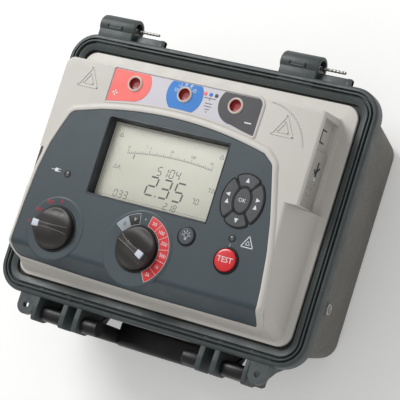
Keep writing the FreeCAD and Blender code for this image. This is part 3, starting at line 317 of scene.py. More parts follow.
def strokes(lines, width, low, high, mark=0, ground=None):
    """A small bar along each line (n, 2 ends, 2): ends plus or minus half the width sideways."""
    lines = np.asarray(lines, float).reshape(-1, 2, 2)
    along = lines[:, 1] - lines[:, 0]
    along /= np.maximum(np.linalg.norm(along, axis=1), 1e-9)[:, None]
    side = np.stack([-along[:, 1], along[:, 0]], 1) * width / 2
    reach = along * width * 0.3
    ring = np.stack([lines[:, 0] - side - reach, lines[:, 1] - side + reach,
                     lines[:, 1] + side + reach, lines[:, 0] + side - reach], 1)
    heights = np.array([low, high], float)
    points = np.empty((len(lines), 2, 4, 3))
    points[..., :2] = ring[:, None]
    points[..., 2] = heights[None, :, None]
    if ground is not None:
        points[..., 2] += ground(points[..., 0], points[..., 1])
    box = np.array([[3, 2, 1, 0], [4, 5, 6, 7], [0, 1, 5, 4], [1, 2, 6, 5], [2, 3, 7, 6],
                    [3, 0, 4, 7]])
    faces = (box[None] + 8 * np.arange(len(lines))[:, None, None]).reshape(-1, 4).tolist()
    return points.reshape(-1, 3), faces, mark


def chain(points, closed=True):
    """The lines that join a row of points."""
    points = np.asarray(points, float)
    ends = np.roll(points, -1, 0)
    lines = np.stack([points, ends], 1)
    return lines if closed else lines[:-1]


def lettering(words, height, place, low, high, turn=0.0, mark=0):
    """Words as a thin solid: the built-in font scaled to a capital height, turned and placed."""
    curve = bpy.data.curves.new("lettering", "FONT")
    curve.body = words
    curve.align_x = "CENTER"
    curve.align_y = "CENTER"
    curve.extrude = 0.5
    curve.resolution_u = 2
    holder = bpy.data.objects.new("lettering", curve)
    bpy.context.scene.collection.objects.link(holder)
    bpy.context.view_layer.update()
    shaped = holder.evaluated_get(bpy.context.evaluated_depsgraph_get())
    mesh = bpy.data.meshes.new_from_object(shaped)
    co = np.empty(len(mesh.vertices) * 3)
    mesh.vertices.foreach_get("co", co)
    co = co.reshape(-1, 3)
    faces = [list(p.vertices) for p in mesh.polygons]
    bpy.data.objects.remove(holder)
    bpy.data.curves.remove(curve)
    bpy.data.meshes.remove(mesh)
    scale = height / 0.7
    x, y = co[:, 0] * scale, co[:, 1] * scale
    cos, sin = math.cos(turn), math.sin(turn)
    return (np.stack([place[0] + x * cos - y * sin, place[1] + x * sin + y * cos,
                      low + (co[:, 2] + 0.5) * (high - low)], 1), faces, mark)


def reorder(part, order):
    """A part with its three axes taken in another order, such as a plate stood on edge."""
    points, faces, mark = part
    return points[:, list(order)], faces, mark


def moved(part, offset):
    """A part shifted by an offset."""
    points, faces, mark = part
    return points + np.asarray(offset, float), faces, mark


def turned_across(profile, place, steps=48, mark=0):
    """A profile of (radius, x) turned about the line along x through place."""
    return moved(reorder(lathe(profile, (0, 0), steps, mark=mark), (2, 0, 1)), place)


def upright_slab(outline, x0, x1, soft=0.8, mark=0):
    """A slab between two x positions over an outline in (y, z), both rims rounded."""
    t = np.linspace(0, math.pi / 2, 4)
    inset = soft * (np.cos(t) - 1)
    rise = soft * np.sin(t)
    first = np.stack([inset[::-1], x0 + soft - rise[::-1]], 1)
    last = np.stack([inset, x1 - soft + rise], 1)
    part = carry(outline, np.vstack([first, last]), caps=True, mark=mark)
    return reorder(part, (2, 0, 1))


def piece(name, parts, finishes, body, slot, replaces=(), sharp=38.0):
    """Joins parts into one object, shuts its doubles, turns its faces out and files it.

    The parts are in millimetres; the object sits at the origin with its place in its mesh.
    """
    corners = np.vstack([p for p, _, _ in parts]) * MM
    faces, marks, start = [], [], 0
    for points, part_faces, mark in parts:
        faces += [[i + start for i in f] for f in part_faces]
        marks += [mark] * len(part_faces)
        start += len(points)
    mesh = bpy.data.meshes.new(name)
    mesh.from_pydata(corners.tolist(), [], faces)
    mesh.polygons.foreach_set("material_index", marks)
    work = bmesh.new()
    work.from_mesh(mesh)
    bmesh.ops.remove_doubles(work, verts=work.verts, dist=2e-6)
    bmesh.ops.dissolve_degenerate(work, edges=work.edges, dist=1e-6)
    bmesh.ops.recalc_face_normals(work, faces=work.faces)
    work.to_mesh(mesh)
    work.free()
    if not mesh.polygons:
        raise RuntimeError(name + " came out empty")
    mesh.polygons.foreach_set("use_smooth", [True] * len(mesh.polygons))
    mesh.set_sharp_from_angle(angle=math.radians(sharp))
    for item in finishes:
        mesh.materials.append(item)
    holder = bpy.data.objects.new(name, mesh)
    bpy.context.scene.collection.objects.link(holder)
    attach(holder, body)
    if replaces:
        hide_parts(*replaces)
    return holder


# ---------------------------------------------------------------- finishes


def shade_group(name, inputs, outputs):
    """An empty shader node group with named inputs and outputs, and its two end nodes."""
    tree = bpy.data.node_groups.new(name, "ShaderNodeTree")
    for label, default in inputs:
        socket = tree.interface.new_socket(name=label, in_out="INPUT",
                                           socket_type="NodeSocketFloat")
        socket.default_value = default
    for label in outputs:
        tree.interface.new_socket(name=label, in_out="OUTPUT", socket_type="NodeSocketFloat")
    return tree, tree.nodes.new("NodeGroupInput"), tree.nodes.new("NodeGroupOutput")


def calculate(tree, operation, first, second):
    """A maths node fed by sockets or plain numbers."""
    node = tree.nodes.new("ShaderNodeMath")
    node.operation = operation
    for index, value in enumerate((first, second)):
        if isinstance(value, (int, float)):
            node.inputs[index].default_value = value
        else:
            tree.links.new(value, node.inputs[index])
    return node.outputs[0]


def remap(tree, value, low, high, new_low, new_high):
    """A value moved from one range to another, held inside it."""
    node = tree.nodes.new("ShaderNodeMapRange")
    tree.links.new(value, node.inputs["Value"])
    for label, number in (("From Min", low), ("From Max", high), ("To Min", new_low),
                          ("To Max", new_high)):
        node.inputs[label].default_value = number
    return node.outputs["Result"]


def noise_at(tree, place, detail, scale, **settings):
    """A noise texture node fed by a place and a scale, which is a socket or a number."""
    node = tree.nodes.new("ShaderNodeTexNoise")
    tree.links.new(place, node.inputs["Vector"])
    node.inputs["Detail"].default_value = detail
    if isinstance(scale, float):
        node.inputs["Scale"].default_value = scale
    else:
        tree.links.new(scale, node.inputs["Scale"])
    for label, value in settings.items():
        node.inputs[label].default_value = value
    return node.outputs["Fac"]


def moulded_grain():
    """Spark-eroded grain: fine noise over rounded cells, as a height and a speck mask."""
    if "Moulded grain" in bpy.data.node_groups:
        return bpy.data.node_groups["Moulded grain"]
    tree, entry, end = shade_group("Moulded grain", [("Scale", 900.0), ("Cells", 0.5)],
                                   ["Height", "Speck"])
    place = tree.nodes.new("ShaderNodeTexCoord").outputs["Object"]
    scale = entry.outputs["Scale"]
    noise = noise_at(tree, place, 3.0, scale, Roughness=0.6)
    cells = tree.nodes.new("ShaderNodeTexVoronoi")
    cells.feature = "SMOOTH_F1"
    cells.inputs["Smoothness"].default_value = 0.4
    tree.links.new(place, cells.inputs["Vector"])
    tree.links.new(calculate(tree, "MULTIPLY", scale, 0.7), cells.inputs["Scale"])
    pits = calculate(tree, "MULTIPLY", cells.outputs["Distance"], entry.outputs["Cells"])
    tree.links.new(calculate(tree, "SUBTRACT", noise, pits), end.inputs["Height"])
    tree.links.new(remap(tree, noise, 0.42, 0.62, 0.0, 1.0), end.inputs["Speck"])
    return tree


def handling():
    """Broad soft patches from moulding and use: a patch mask and a gloss value."""
    if "Handling" in bpy.data.node_groups:
        return bpy.data.node_groups["Handling"]
    tree, entry, end = shade_group("Handling", [("Scale", 14.0)], ["Patch", "Gloss"])
    place = tree.nodes.new("ShaderNodeTexCoord").outputs["Object"]
    scale = entry.outputs["Scale"]
    broad = noise_at(tree, place, 4.0, scale)
    fine = noise_at(tree, place, 5.0, calculate(tree, "MULTIPLY", scale, 5.0), Distortion=0.6)
    tree.links.new(remap(tree, broad, 0.3, 0.7, 0.0, 1.0), end.inputs["Patch"])
    tree.links.new(remap(tree, fine, 0.3, 0.7, 0.0, 1.0), end.inputs["Gloss"])
    return tree


def edge_wear():
    """Rubbed edges: where the surface turns outwards, broken up by noise."""
    if "Edge wear" in bpy.data.node_groups:
        return bpy.data.node_groups["Edge wear"]
    tree, entry, end = shade_group("Edge wear", [("Amount", 0.3)], ["Wear"])
    turn = tree.nodes.new("ShaderNodeNewGeometry").outputs["Pointiness"]
    edge = remap(tree, turn, 0.51, 0.58, 0.0, 1.0)
    place = tree.nodes.new("ShaderNodeTexCoord").outputs["Object"]
    rub = remap(tree, noise_at(tree, place, 4.0, 160.0), 0.35, 0.6, 0.25, 1.0)
    tree.links.new(calculate(tree, "MULTIPLY", calculate(tree, "MULTIPLY", edge, rub),
                             entry.outputs["Amount"]), end.inputs["Wear"])
    return tree


def blend_colour(tree, factor, first, second):
    """Two colours mixed by a mask; each is a socket or four numbers."""
    node = tree.nodes.new("ShaderNodeMix")
    node.data_type = "RGBA"
    tree.links.new(factor, node.inputs[0])
    for socket, value in ((node.inputs[6], first), (node.inputs[7], second)):
        if isinstance(value, tuple):
            socket.default_value = value
        else:
            tree.links.new(value, socket)
    return node.outputs[2]


def scaled(shade, factor):
    """A colour made darker or lighter."""
    return tuple(min(1.0, c * factor) for c in shade[:3]) + (1.0,)


def finish(name, base, rough=0.5, spread=0.1, grain=900.0, depth=0.03, cells=0.4, patch=14.0,
           mottle=0.12, specks=0.0, wear=0.0, metallic=0.0, coat=0.0, transmission=0.0):
    """A moulded, printed or metal finish made from the shared effects.

    Patches vary the colour by the mottle share, grain gives the bump and any specks, gloss
    moves the roughness within its spread, and wear lightens the rubbed edges.
    """
    if name in bpy.data.materials:
        return bpy.data.materials[name]
    material = bpy.data.materials.new(name)
    material.use_nodes = True
    tree = material.node_tree
    shader = tree.nodes["Principled BSDF"]

    def effect(group, **values):
        node = tree.nodes.new("ShaderNodeGroup")
        node.node_tree = group
        for label, value in values.items():
            node.inputs[label].default_value = value
        return node.outputs

    use = effect(handling(), Scale=patch)
    texture = effect(moulded_grain(), Scale=grain, Cells=cells)
    shade = blend_colour(tree, use["Patch"], scaled(base, 1 - mottle), scaled(base, 1 + mottle))
    if specks:
        mask = calculate(tree, "MULTIPLY", texture["Speck"], specks)
        shade = blend_colour(tree, mask, shade, scaled(base, 0.35))
    if wear:
        rubbed = effect(edge_wear(), Amount=wear)
        shade = blend_colour(tree, rubbed["Wear"], shade, scaled(base, 2.6))
    tree.links.new(shade, shader.inputs["Base Color"])
    tree.links.new(remap(tree, use["Gloss"], 0, 1, rough - spread, rough + spread),
                   shader.inputs["Roughness"])
    bump = tree.nodes.new("ShaderNodeBump")
    bump.inputs["Strength"].default_value = 1.0
    bump.inputs["Distance"].default_value = depth * MM
    tree.links.new(texture["Height"], bump.inputs["Height"])
    tree.links.new(bump.outputs["Normal"], shader.inputs["Normal"])
    shader.inputs["Metallic"].default_value = metallic
    shader.inputs["Coat Weight"].default_value = coat
    shader.inputs["Coat Roughness"].default_value = 0.12
    shader.inputs["Transmission Weight"].default_value = transmission
    return material


def case_finish():
    """Smooth slate moulding of the case."""
    return finish("Case slate", tint("case"), 0.46, 0.08, 1500, 0.03, mottle=0.1, wear=0.35)


def wall_finish():
    """Grained walls of the case."""
    return finish("Case wall grain", tint("wall"), 0.72, 0.08, 700, 0.28, 0.8, mottle=0.1,
                  specks=0.35)


def panel_finish():
    """Light moulding of the panel."""
    return finish("Panel grey", tint("panel"), 0.42, 0.07, 1900, 0.02, mottle=0.025, wear=0.1)


def fascia_finish():
    """Printed film of the fascia."""
    return finish("Fascia film", tint("fascia"), 0.44, 0.06, 2600, 0.012, mottle=0.05)


def black_rubber():
    """Black rubber of rings, seals and outlines."""
    return finish("Black rubber", paint(9, 9, 10), 0.5, 0.1, 2400, 0.02)


def white_print():
    """Pale printed marks."""
    return finish("Pale print", paint(226, 230, 232), 0.5, 0.08, 2600, 0.01, mottle=0.03)


def bright_steel():
    """Turned steel of pins and fittings."""
    return finish("Bright steel", paint(168, 166, 160), 0.3, 0.1, 1500, 0.02, metallic=1.0)


def moulded_black():
    """Black moulded sockets and marks."""
    return finish("Moulded black", paint(30, 30, 32), 0.45, 0.1, 1500, 0.03, wear=0.2)


def label_finishes():
    """Red, blue and dark print of the three terminal labels."""
    return [finish("Label " + name, tint(shade), rough, 0.06, 2600, 0.01, mottle=mottle)
            for name, shade, rough, mottle in (
                ("red", "positive", 0.4, 0.04), ("blue", "guard", 0.4, 0.05),
                ("dark", "negative", 0.42, 0.06))]


def ground(x, y):
    """Height of the deck under a point, in millimetres.

    The smooth lower envelope of the level deck and the front slope: the blend of two planes a
    and b is -k log(exp(-a / k) + exp(-b / k)).
    """
    deck = mm("deck_height")
    slope = deck + (y - RAMP_START) * RAMP_RISE
    return -RAMP_BLEND * np.logaddexp(-deck / RAMP_BLEND, -slope / RAMP_BLEND) + 0 * x


# ---------------------------------------------------------------- case


def rear_arc(x):
    """Depth of the fascia's shallow rear edge: y = 56.4 - 0.0013 (x + 14)^2."""
    return 56.4 - 0.0013 * (x + 14) ** 2


def rim_outline_ring(half_x, half_y, radius, per_corner=14, per_side=10):
    """Rounded rectangles centred on the origin, one per row, all with the same point count.

    Each corner is an arc of its own radius; each side is evenly divided between two arcs.
    """
    half_x, half_y, radius = [np.asarray(v, float)[:, None] for v in (half_x, half_y, radius)]
    turn = np.linspace(0, math.pi / 2, per_corner)[None]
    part = np.linspace(0, 1, per_side + 2)[None, 1:-1]
    rows = []
    for quarter, (sx, sy) in enumerate(((1, 1), (-1, 1), (-1, -1), (1, -1))):
        a = turn + quarter * math.pi / 2
        cx, cy = sx * (half_x - radius), sy * (half_y - radius)
        arc = np.stack([cx + radius * np.cos(a), cy + radius * np.sin(a)], -1)
        rows.append(arc)
        nx, ny = ((-1, 1), (-1, -1), (1, -1), (1, 1))[quarter]
        end = np.stack([nx * (half_x - radius) + radius * math.cos((quarter + 1) * math.pi / 2),
                        ny * (half_y - radius) + radius * math.sin((quarter + 1) * math.pi / 2)],
                       -1)
        rows.append(arc[:, -1:] * (1 - part[..., None]) + end * part[..., None])
    return np.concatenate(rows, 1)


def build_case():
    """The case: walls, skirt and rim in one closed surface, with ribs, ears and knuckles."""
    low, high = span("case_shell")
    half_x, half_y, corner = high[0], mm("rim_half_depth"), mm("rim_corner")
    lean = math.tan(sizes().wall_draft)
    foot_z, skirt_z, top = low[2], mm("skirt_foot"), high[2]
    tub_x, tub_y = mm("tub_half_width"), mm("tub_half_depth")

    z = np.r_[foot_z + 0.02, foot_z + 1.2, foot_z + 4, np.linspace(foot_z + 10, skirt_z, 12)]
    tuck = np.r_[5.0, 1.6, 0.2, np.zeros(12)]
    grow = (z - foot_z) * lean - tuck
    outer = np.stack([tub_x + grow, tub_y + grow, 16 + 0.05 * (z - foot_z), z], 1)
    rim = np.array([
        (0.9, skirt_z), (0.25, skirt_z + 0.3), (0.0, skirt_z + 1.2), (0.0, top - 3.4),
        (0.25, top - 2.0), (1.0, top - 1.0), (2.2, top - 0.6), (3.7, top - 0.6),
        (4.0, top - 1.0), (4.2, top - 3.2), (5.4, top - 3.2), (5.6, top - 0.9), (5.9, top - 0.1),
        (6.4, top), (6.9, top - 0.1), (7.2, top - 0.9), (7.4, top - 3.4), (8.9, top - 3.4),
        (9.1, top - 1.7), (9.6, top - 1.2), (10.4, top - 1.3), (14.2, top - 2.6),
        (14.9, top - 3.0), (15.1, top - 6.4), (24.4, top - 6.5), (25.0, top - 7.0),
        (25.0, top - 12)])
    rim = np.stack([half_x - rim[:, 0], half_y - rim[:, 0],
                    np.maximum(corner - rim[:, 0], 6), rim[:, 1]], 1)
    inner_z = np.linspace(top - 16, foot_z + 3, 4)
    inner = (inner_z - foot_z) * lean - 3.2
    inside = np.stack([tub_x + inner, tub_y + inner, 14 + 0 * inner, inner_z], 1)
    stations = np.vstack([outer, rim, inside])
    flat = rim_outline_ring(*stations[:, :3].T)
    height = np.broadcast_to(stations[:, 3, None, None], flat.shape[:2] + (1,))
    shell = np.concatenate([flat, height], -1)
    walls = grid(shell[:len(outer) + 1], closed_columns=True, mark=1)
    walls = (walls[0], walls[1] + [list(range(shell.shape[1]))[::-1]], 1)
    upper = grid(shell[len(outer):], closed_columns=True)
    last = (len(shell) - len(outer) - 1) * shell.shape[1]
    upper = (upper[0], upper[1] + [[last + i for i in range(shell.shape[1])]], 0)
    parts = [walls, upper]

    front = low[1]
    back = -half_y + 14
    rib = clean(soft_path([(back, 101.5), (back, 40), (-tub_y - 3, 38), (front + 9, 58),
                           (front, 84), (front, top - 2), (front + 12, top - 1.5)],
                          [0, 0, 4, 14, 9, 3, 6], 6))
    rib_spans = ((76.0, 81.5), (61.6, 67.0), (107.0, 111.3))
    ear_x, ear_y, ear_hole = 120.0, -133.5, 3.0
    for side in (1, -1):
        for x0, x1 in rib_spans:
            ends = sorted((side * x0, side * x1))
            parts.append(upright_slab(rib, *ends, soft=0.7))
        centre = (side * ear_x, ear_y)
        tab = clean(soft_path([(centre[0] - 9, -half_y + 6), (centre[0] - 9, -142.5),
                               (centre[0] + 9, -142.5), (centre[0] + 9, -half_y + 6)],
                              [0, 9, 9, 0], 14))
        hole = round_outline(centre, ear_hole, 40)
        parts.append(holed_plate(tab, [hole], 96.4, 102.6))
        web = clean(soft_path([(-half_y + 4, 97), (-half_y + 4, 62), (-half_y - 4, 84),
                               (-half_y - 12, 97)], [0, 0, 12, 2], 6))
        for x in (centre[0] - 8.6, centre[0] + 6.0):
            parts.append(upright_slab(web, x, x + 2.6, soft=0.6))

    knuckle_spans = ((-139.0, -99.0, -68.0), (51.0, 91.0, 122.0))
    for x0, x1, ledge in knuckle_spans:
        dome = np.linspace(0, math.pi / 2, 9)
        profile = np.vstack([np.stack([9.9 * np.sin(dome), x0 + 4.5 * (1 - np.cos(dome))], 1),
                             [(9.9, x1 - 1.0), (9.6, x1 - 0.3), (9.0, x1), (7.0, x1),
                              (6.6, x1 - 0.4), (6.5, x1 - 1), (6.5, x1 - 13), (0, x1 - 13)]])
        parts.append(turned_across(profile, (0, HINGE_Y, HINGE_Z), 56))
        bridge = clean(soft_path([(half_y - 12, 102), (half_y - 12, 90), (half_y + 2, 86),
                                  (HINGE_Y - 1, 85.6), (HINGE_Y - 2, 103.4),
                                  (half_y + 2, 103.4)], [0, 0, 2, 2, 2, 5], 5))
        parts.append(upright_slab(bridge, x0 + 3.0, x1 - 0.6, soft=1.2))
        slot = oblong((x0 + 12, HINGE_Y - 3.2), (x1 - 12, HINGE_Y - 0.6), 1.2)
        parts.append(strokes(chain(slot), 0.7, HINGE_Z + 9.2, HINGE_Z + 9.98))
        shelf = clean(soft_path([(half_y - 6, 97), (half_y - 6, 91), (half_y + 7, 91.4),
                                 (half_y + 7, 97)], [0, 0, 1.5, 1.5], 5))
        parts.append(upright_slab(shelf, x1 - 4, ledge, soft=0.8))
        nub = clean(soft_path([(half_y - 4, 100), (half_y - 4, 92), (half_y + 7, 92),
                               (half_y + 7, 98), (half_y + 3, 100)], [0, 0, 1, 1.5, 2], 5))
        parts.append(upright_slab(nub, ledge - 4, ledge, soft=0.6))
    piece("case", parts, [case_finish(), wall_finish()], "tester", "case_plastic",
          ["case_shell"])


def build_case_fittings():
    """Feet, pressure valve, hinge pins and the latch and handle pins."""
    steel = bright_steel()
    rubber = black_rubber()
    (fx0, fy0, _), (fx1, fy1, fz1) = span("rubber_feet")
    radius = 11.0
    feet = []
    for x in (fx0 + radius, fx1 - radius):
        for y in (fy0 + radius, fy1 - radius):
            rings = [(0, fz1 + 0.6), (radius - 0.6, fz1 + 0.6), (radius, fz1 - 0.4),
                     (radius - 0.4, 0.5), (radius - 1.1, 0.0), (6.6, 0.0), (6.0, 0.7), (0, 0.7)]
            feet.append(lathe(rings, (x, y), 48))
    piece("feet", feet, [rubber], "tester", "black_rubber", ["rubber_feet"])

    (vx0, vy0, vz0), (vx1, vy1, vz1) = span("vent_valve")
    y, z = (vy0 + vy1) / 2, (vz0 + vz1) / 2
    cup = [(0, vx0 + 4), (5.0, vx0 + 4), (5.0, vx1 - 0.6), (4.5, vx1), (3.4, vx1),
           (3.0, vx1 - 1.0), (1.3, vx1 - 1.0), (1.1, vx1 - 0.1), (0, vx1 - 0.1)]
    valve = turned_across(cup, (0, y, z), 40)
    piece("pressure_valve", [valve], [steel], "tester", "steel", ["vent_valve"])
    lean = math.tan(sizes().wall_draft)
    # a thin black plate on the wall above the valve: painted shade standing for the hollow there
    recess = reorder(plate(oblong((y - 6.5, z + 6.5), (y + 6.5, z + 15.5), 1.2), 0, 1.1, 0.4),
                     (2, 0, 1))
    points = recess[0].copy()
    points[:, 0] += mm("tub_half_width") + (points[:, 2] - 3.0) * lean - 0.4
    piece("valve_recess", [(points, recess[1], 0)], [rubber], "tester", "black_rubber")

    pins = []
    for start, end in ((-101.0, -76.0), (89.0, 114.0)):
        along = np.linspace(start, end - 1.2, 60)
        ridge = 1.36 + 0.12 * np.sin((along - start) * 2 * math.pi / 3.4)
        profile = np.vstack([[(0, start)], np.stack([ridge, along], 1),
                             [(1.1, end - 0.4), (0.7, end), (0, end)]])
        pins.append(turned_across(profile, (0, HINGE_Y, HINGE_Z), 20))
    for start, end in ((-122.0, -101.0), (68.0, 89.0)):
        root = [(0, start), (2.15, start), (2.15, end - 0.4), (1.8, end), (0, end)]
        pins.append(turned_across(root, (0, HINGE_Y, HINGE_Z), 24))
    piece("hinge_pins_ridged", pins, [steel], "tester", "steel", ["hinge_pins"])
    for node in ("latch_pins", "handle_pins"):
        repaint(node, steel)


def build_latches():
    """The two over-centre latches: a hub, a curved lever and a finger lip."""
    shade = finish("Latch black", paint(14, 14, 15), 0.4, 0.1, 1500, 0.04, wear=0.25)
    for side in ("left", "right"):
        (x0, y0, z0), (x1, y1, z1) = span(side + "_latch")
        hub = y0 + 13.8
        # the finger lip at the foot runs back to the rear of the part's box, so its black also
        # covers the shaded gap in front of the case: the latch's own black plus painted shade
        lever = clean(soft_path([(hub, z1 - 0.4), (y0 + 0.4, z1 - 0.4), (y0, z1 - 12),
                                 (y0, z0 + 6), (y0 + 1.5, z0), (y1 - 0.2, z0), (y1 - 0.2, z0 + 4),
                                 (y0 + 7, z0 + 5), (y0 + 8, z1 - 20), (hub, z1 - 12)],
                                [6.6, 6.6, 8, 2, 1.2, 1.2, 1.5, 4, 5, 6.4], 7))
        parts = [upright_slab(lever, x0, x1, soft=1.2)]
        for offset in (0.28, 0.5, 0.72):
            x = x0 + (x1 - x0) * offset
            rib = oblong((y0, z0 + 12), (y0 + 1.2, z1 - 14), 0.5)
            parts.append(upright_slab(rib, x - 1.0, x + 1.0, soft=0.3))
        piece(side + "_latch_lever", parts, [shade], side + "_latch", "black_plastic",
              [side + "_latch"])


def build_handle():
    """The carry handle: two arms with round hubs and a ribbed grip bar between them."""
    shade = finish("Handle black", paint(13, 13, 14), 0.42, 0.1, 1400, 0.05, wear=0.25)
    (x0, y0, z0), (x1, y1, z1) = span("carry_handle")
    back = y1
    y1 = y0 + 15.0
    mid = (y0 + y1) / 2
    arm = clean(soft_path([(y1 - 0.2, z1 - 0.2), (y0 + 0.2, z1 - 0.2), (y0 + 0.8, z0 + 10),
                           (y0 + 3, z0 + 0.5), (y1 - 2, z0 + 0.5), (y1 - 0.8, z0 + 10)],
                          [7.1, 7.1, 20, 5, 5, 20], 9))
    # the grip bar runs back to the rear of the part's box, past the arms, so its black also fills
    # the shaded gap between handle and case: the handle's own black plus painted shade
    grip = clean(soft_path([(back, z0 + 16), (y0, z0 + 16), (y0, z0), (back, z0)], 5.5, 9))
    parts = [upright_slab(arm, x0, x0 + 15.9, 1.8), upright_slab(arm, x1 - 15.9, x1, 1.8),
             upright_slab(grip, x0 + 14.0, x1 - 14.0, 2.0)]
    ring = carry(grip, [(-0.6, -0.9), (-0.02, -0.9), (0.0, 0.0), (-0.02, 0.9), (-0.6, 0.9)])
    for x in np.linspace(x0 + 24, x1 - 24, 13):
        parts.append(moved(reorder(ring, (2, 0, 1)), (x, 0, 0)))
    hub = [(0, -8.1), (6.6, -8.1), (7.3, -7.4), (7.3, 7.4), (6.6, 8.1), (0, 8.1)]
    for x in (x0 + 8.1, x1 - 8.1):
        parts.append(turned_across(hub, (x, mid, z1 - 7.5), 40))
    piece("handle", parts, [shade], "carry_handle", "black_plastic", ["carry_handle"])


# ---------------------------------------------------------------- panel


def panel_sides():
    """Cross profiles of the panel on each side: (distance across, height), corner by corner.

    Order: flange bottom, flange top, wall foot, four wall points that can sink to a channel,
    deck edge, opening edge, its underside, and the underside of deck and wall.
    """
    deck, flange = mm("deck_height"), mm("flange_height")
    (px0, py0, _), (px1, py1, _) = span("instrument_panel")
    bottom = span("panel_seal")[1][2] + 0.3

    def side(edge, foot, top, opening, under, sink=0.0):
        inward = -1.0 if edge > 0 else 1.0
        at = [foot + (top - foot) * (z - flange) / (deck - flange) for z in (107.0, 133.0)]
        return [(edge, bottom), (edge, flange), (foot, flange), (at[0], 107.0),
                (at[0] + inward * sink, 107.0), (at[1] + inward * sink, 133.0), (at[1], 133.0),
                (top, deck), (opening, deck), (opening, deck - 3), (top + inward * under, deck - 3),
                (foot + inward * under, bottom)]

    return side, (px0, px1, py0, py1)


def build_panel():
    """The light instrument panel: one profile per side carried round the whole panel.

    Station k of every side together gives one rounded rectangle, so each point is the corner
    arc or straight side of that rectangle, and its height runs smoothly from one side's
    profile to the next round each corner. The right side changes from ramp to upright block
    at the step, sinks to a channel along the block, and the left side sinks at the inlet.
    """
    side, (px0, px1, py0, py1) = panel_sides()
    inlet_low, inlet_high = span("mains_inlet")
    step = 8.5  # where the ramp turns into the upright block
    channel = (10.0, 86.5)  # front and rear end of the slider's channel
    notch = (inlet_low[1] - 2.2, inlet_high[1] + 2.2)
    radii = np.array([0.3, 0.9, 1.6, 0.7, 0.5, 0.5, 0.9, 2.8, 0.4, 0.2, 0.2, 0.2])
    steps = 6

    def profiles(rows):
        return soft_path(np.array(rows), radii, steps)

    left_plain = side(px0, -138.4, -136.6, -72.6, 3)
    left_notch = side(px0, -133.2, -132.4, -72.6, 3)
    rear = side(py1, 93.6, 91.8, 89.5, 1.5)
    front_radii = radii.copy()
    front_radii[[2, 7]] = (3.0, 7.0)
    front = side(py0, -104.0, -83.0, -26.4, 3)
    block = side(px1, 127.6, 126.2, 54.0, 9)
    sunk = side(px1, 127.6, 126.2, 54.0, 9, sink=6.2)

    pinned = np.r_[step + 0.15, channel[0] - 0.1, channel[0] + 0.1,
                   np.linspace(14, 83, 18), channel[1] - 0.1, channel[1] + 0.1]
    sinks = (pinned > channel[0]) & (pinned < channel[1])
    right_rear = profiles([sunk if s else block for s in sinks])
    ramp_y = np.r_[np.linspace(-74, 6, 24), step - 0.15]
    ramp_top = 114.5 + 6.5 * np.clip((step - ramp_y) / 92, 0, 1)
    ramp_radii = radii.copy()
    ramp_radii[[2, 7]] = (4.0, 6.0)
    right_front = soft_path(np.array([side(px1, 135.0, t, 54.0, 5) for t in ramp_top]),
                            ramp_radii, steps)
    left_y = np.r_[81, np.linspace(70, notch[1] + 6, 8), notch[1] + 0.15, notch[1] - 0.15,
                   np.linspace(notch[1] - 4, notch[0] + 4, 6), notch[0] + 0.15, notch[0] - 0.15,
                   np.linspace(notch[0] - 6, -74, 6)]
    in_notch = (left_y > notch[0]) & (left_y < notch[1])
    left = profiles([left_notch if s else left_plain for s in in_notch])
    rear_line = profiles([rear])[0]
    front_line = soft_path(np.array(front), front_radii, steps)
    plain_left = profiles([left_plain])[0]
    plain_block = profiles([block])[0]

    corner = np.repeat([13.0, 13.0, 9.0, 9.0, 9.0, 8.5, 8.5, 8.0, 0.3, 0.3, 2.0, 4.0], steps)
    tight = np.minimum(corner, np.repeat([13, 13, 4.2, 4.2, 4.2, 4, 4, 4, 0.3, 0.3, 1, 1], steps))
    turn = np.linspace(0, math.pi / 2, 14)[:, None]
    blend = (0.5 - 0.5 * np.cos(2 * turn))

    def arc(x_line, y_line, radius, first, z_first, z_last):
        sx, sy = math.copysign(1, math.cos(first + 0.78)), math.copysign(1, math.sin(first + 0.78))
        x = x_line[:, 0] - sx * radius + radius * np.cos(turn + first)
        y = y_line[:, 0] - sy * radius + radius * np.sin(turn + first)
        z = z_first * (1 - blend) + z_last * blend
        return np.stack([x, y, z], -1)

    def straight(start, end, count):
        t = np.linspace(0, 1, count + 2)[1:-1, None, None]
        return start[None] * (1 - t) + end[None] * t

    def upright(lines, y):
        return np.stack([lines[..., 0], np.broadcast_to(y[:, None], lines.shape[:2]),
                         lines[..., 1]], -1)

    half = math.pi / 2
    rr = arc(plain_block, rear_line, tight, 0.0, plain_block[:, 1], rear_line[:, 1])
    lr = arc(plain_left, rear_line, corner, half, rear_line[:, 1], plain_left[:, 1])
    lf = arc(plain_left, front_line, corner, 2 * half, plain_left[:, 1], front_line[:, 1])
    fr = arc(right_front[0], front_line, corner, 3 * half, front_line[:, 1], right_front[0][:, 1])
    ring = np.concatenate([
        upright(right_rear, pinned), rr, straight(rr[-1], lr[0], 12), lr,
        upright(left, left_y), lf, straight(lf[-1], fr[0], 14), fr,
        upright(right_front, ramp_y)], 0)
    shell = grid(ring, closed_rows=True, closed_columns=True)

    marks = []
    deck = mm("deck_height")
    for cx, cy, reach in ((-107.0, 75.0, 10.5), (93.0, 70.0, 10.5)):
        for size, width in ((reach, 1.1), (reach * 0.5, 0.9)):
            corners = np.array([cx, cy - 1.5]) + size * 1.12 * compass(TRIANGLE)
            marks.append(strokes(chain(corners), width, deck - 0.5, deck + 0.55))
    deck_curve = np.radians(np.linspace(0, 78, 26))
    sweep = np.stack([74 + 42 * np.sin(deck_curve), 46 + 43 * np.cos(deck_curve)], 1)
    marks.append(strokes(chain(sweep, closed=False), 1.1, deck - 0.5, deck + 0.14))
    piece("panel", [shell] + marks, [panel_finish()], "tester", "panel_plastic",
          ["instrument_panel"], sharp=42)


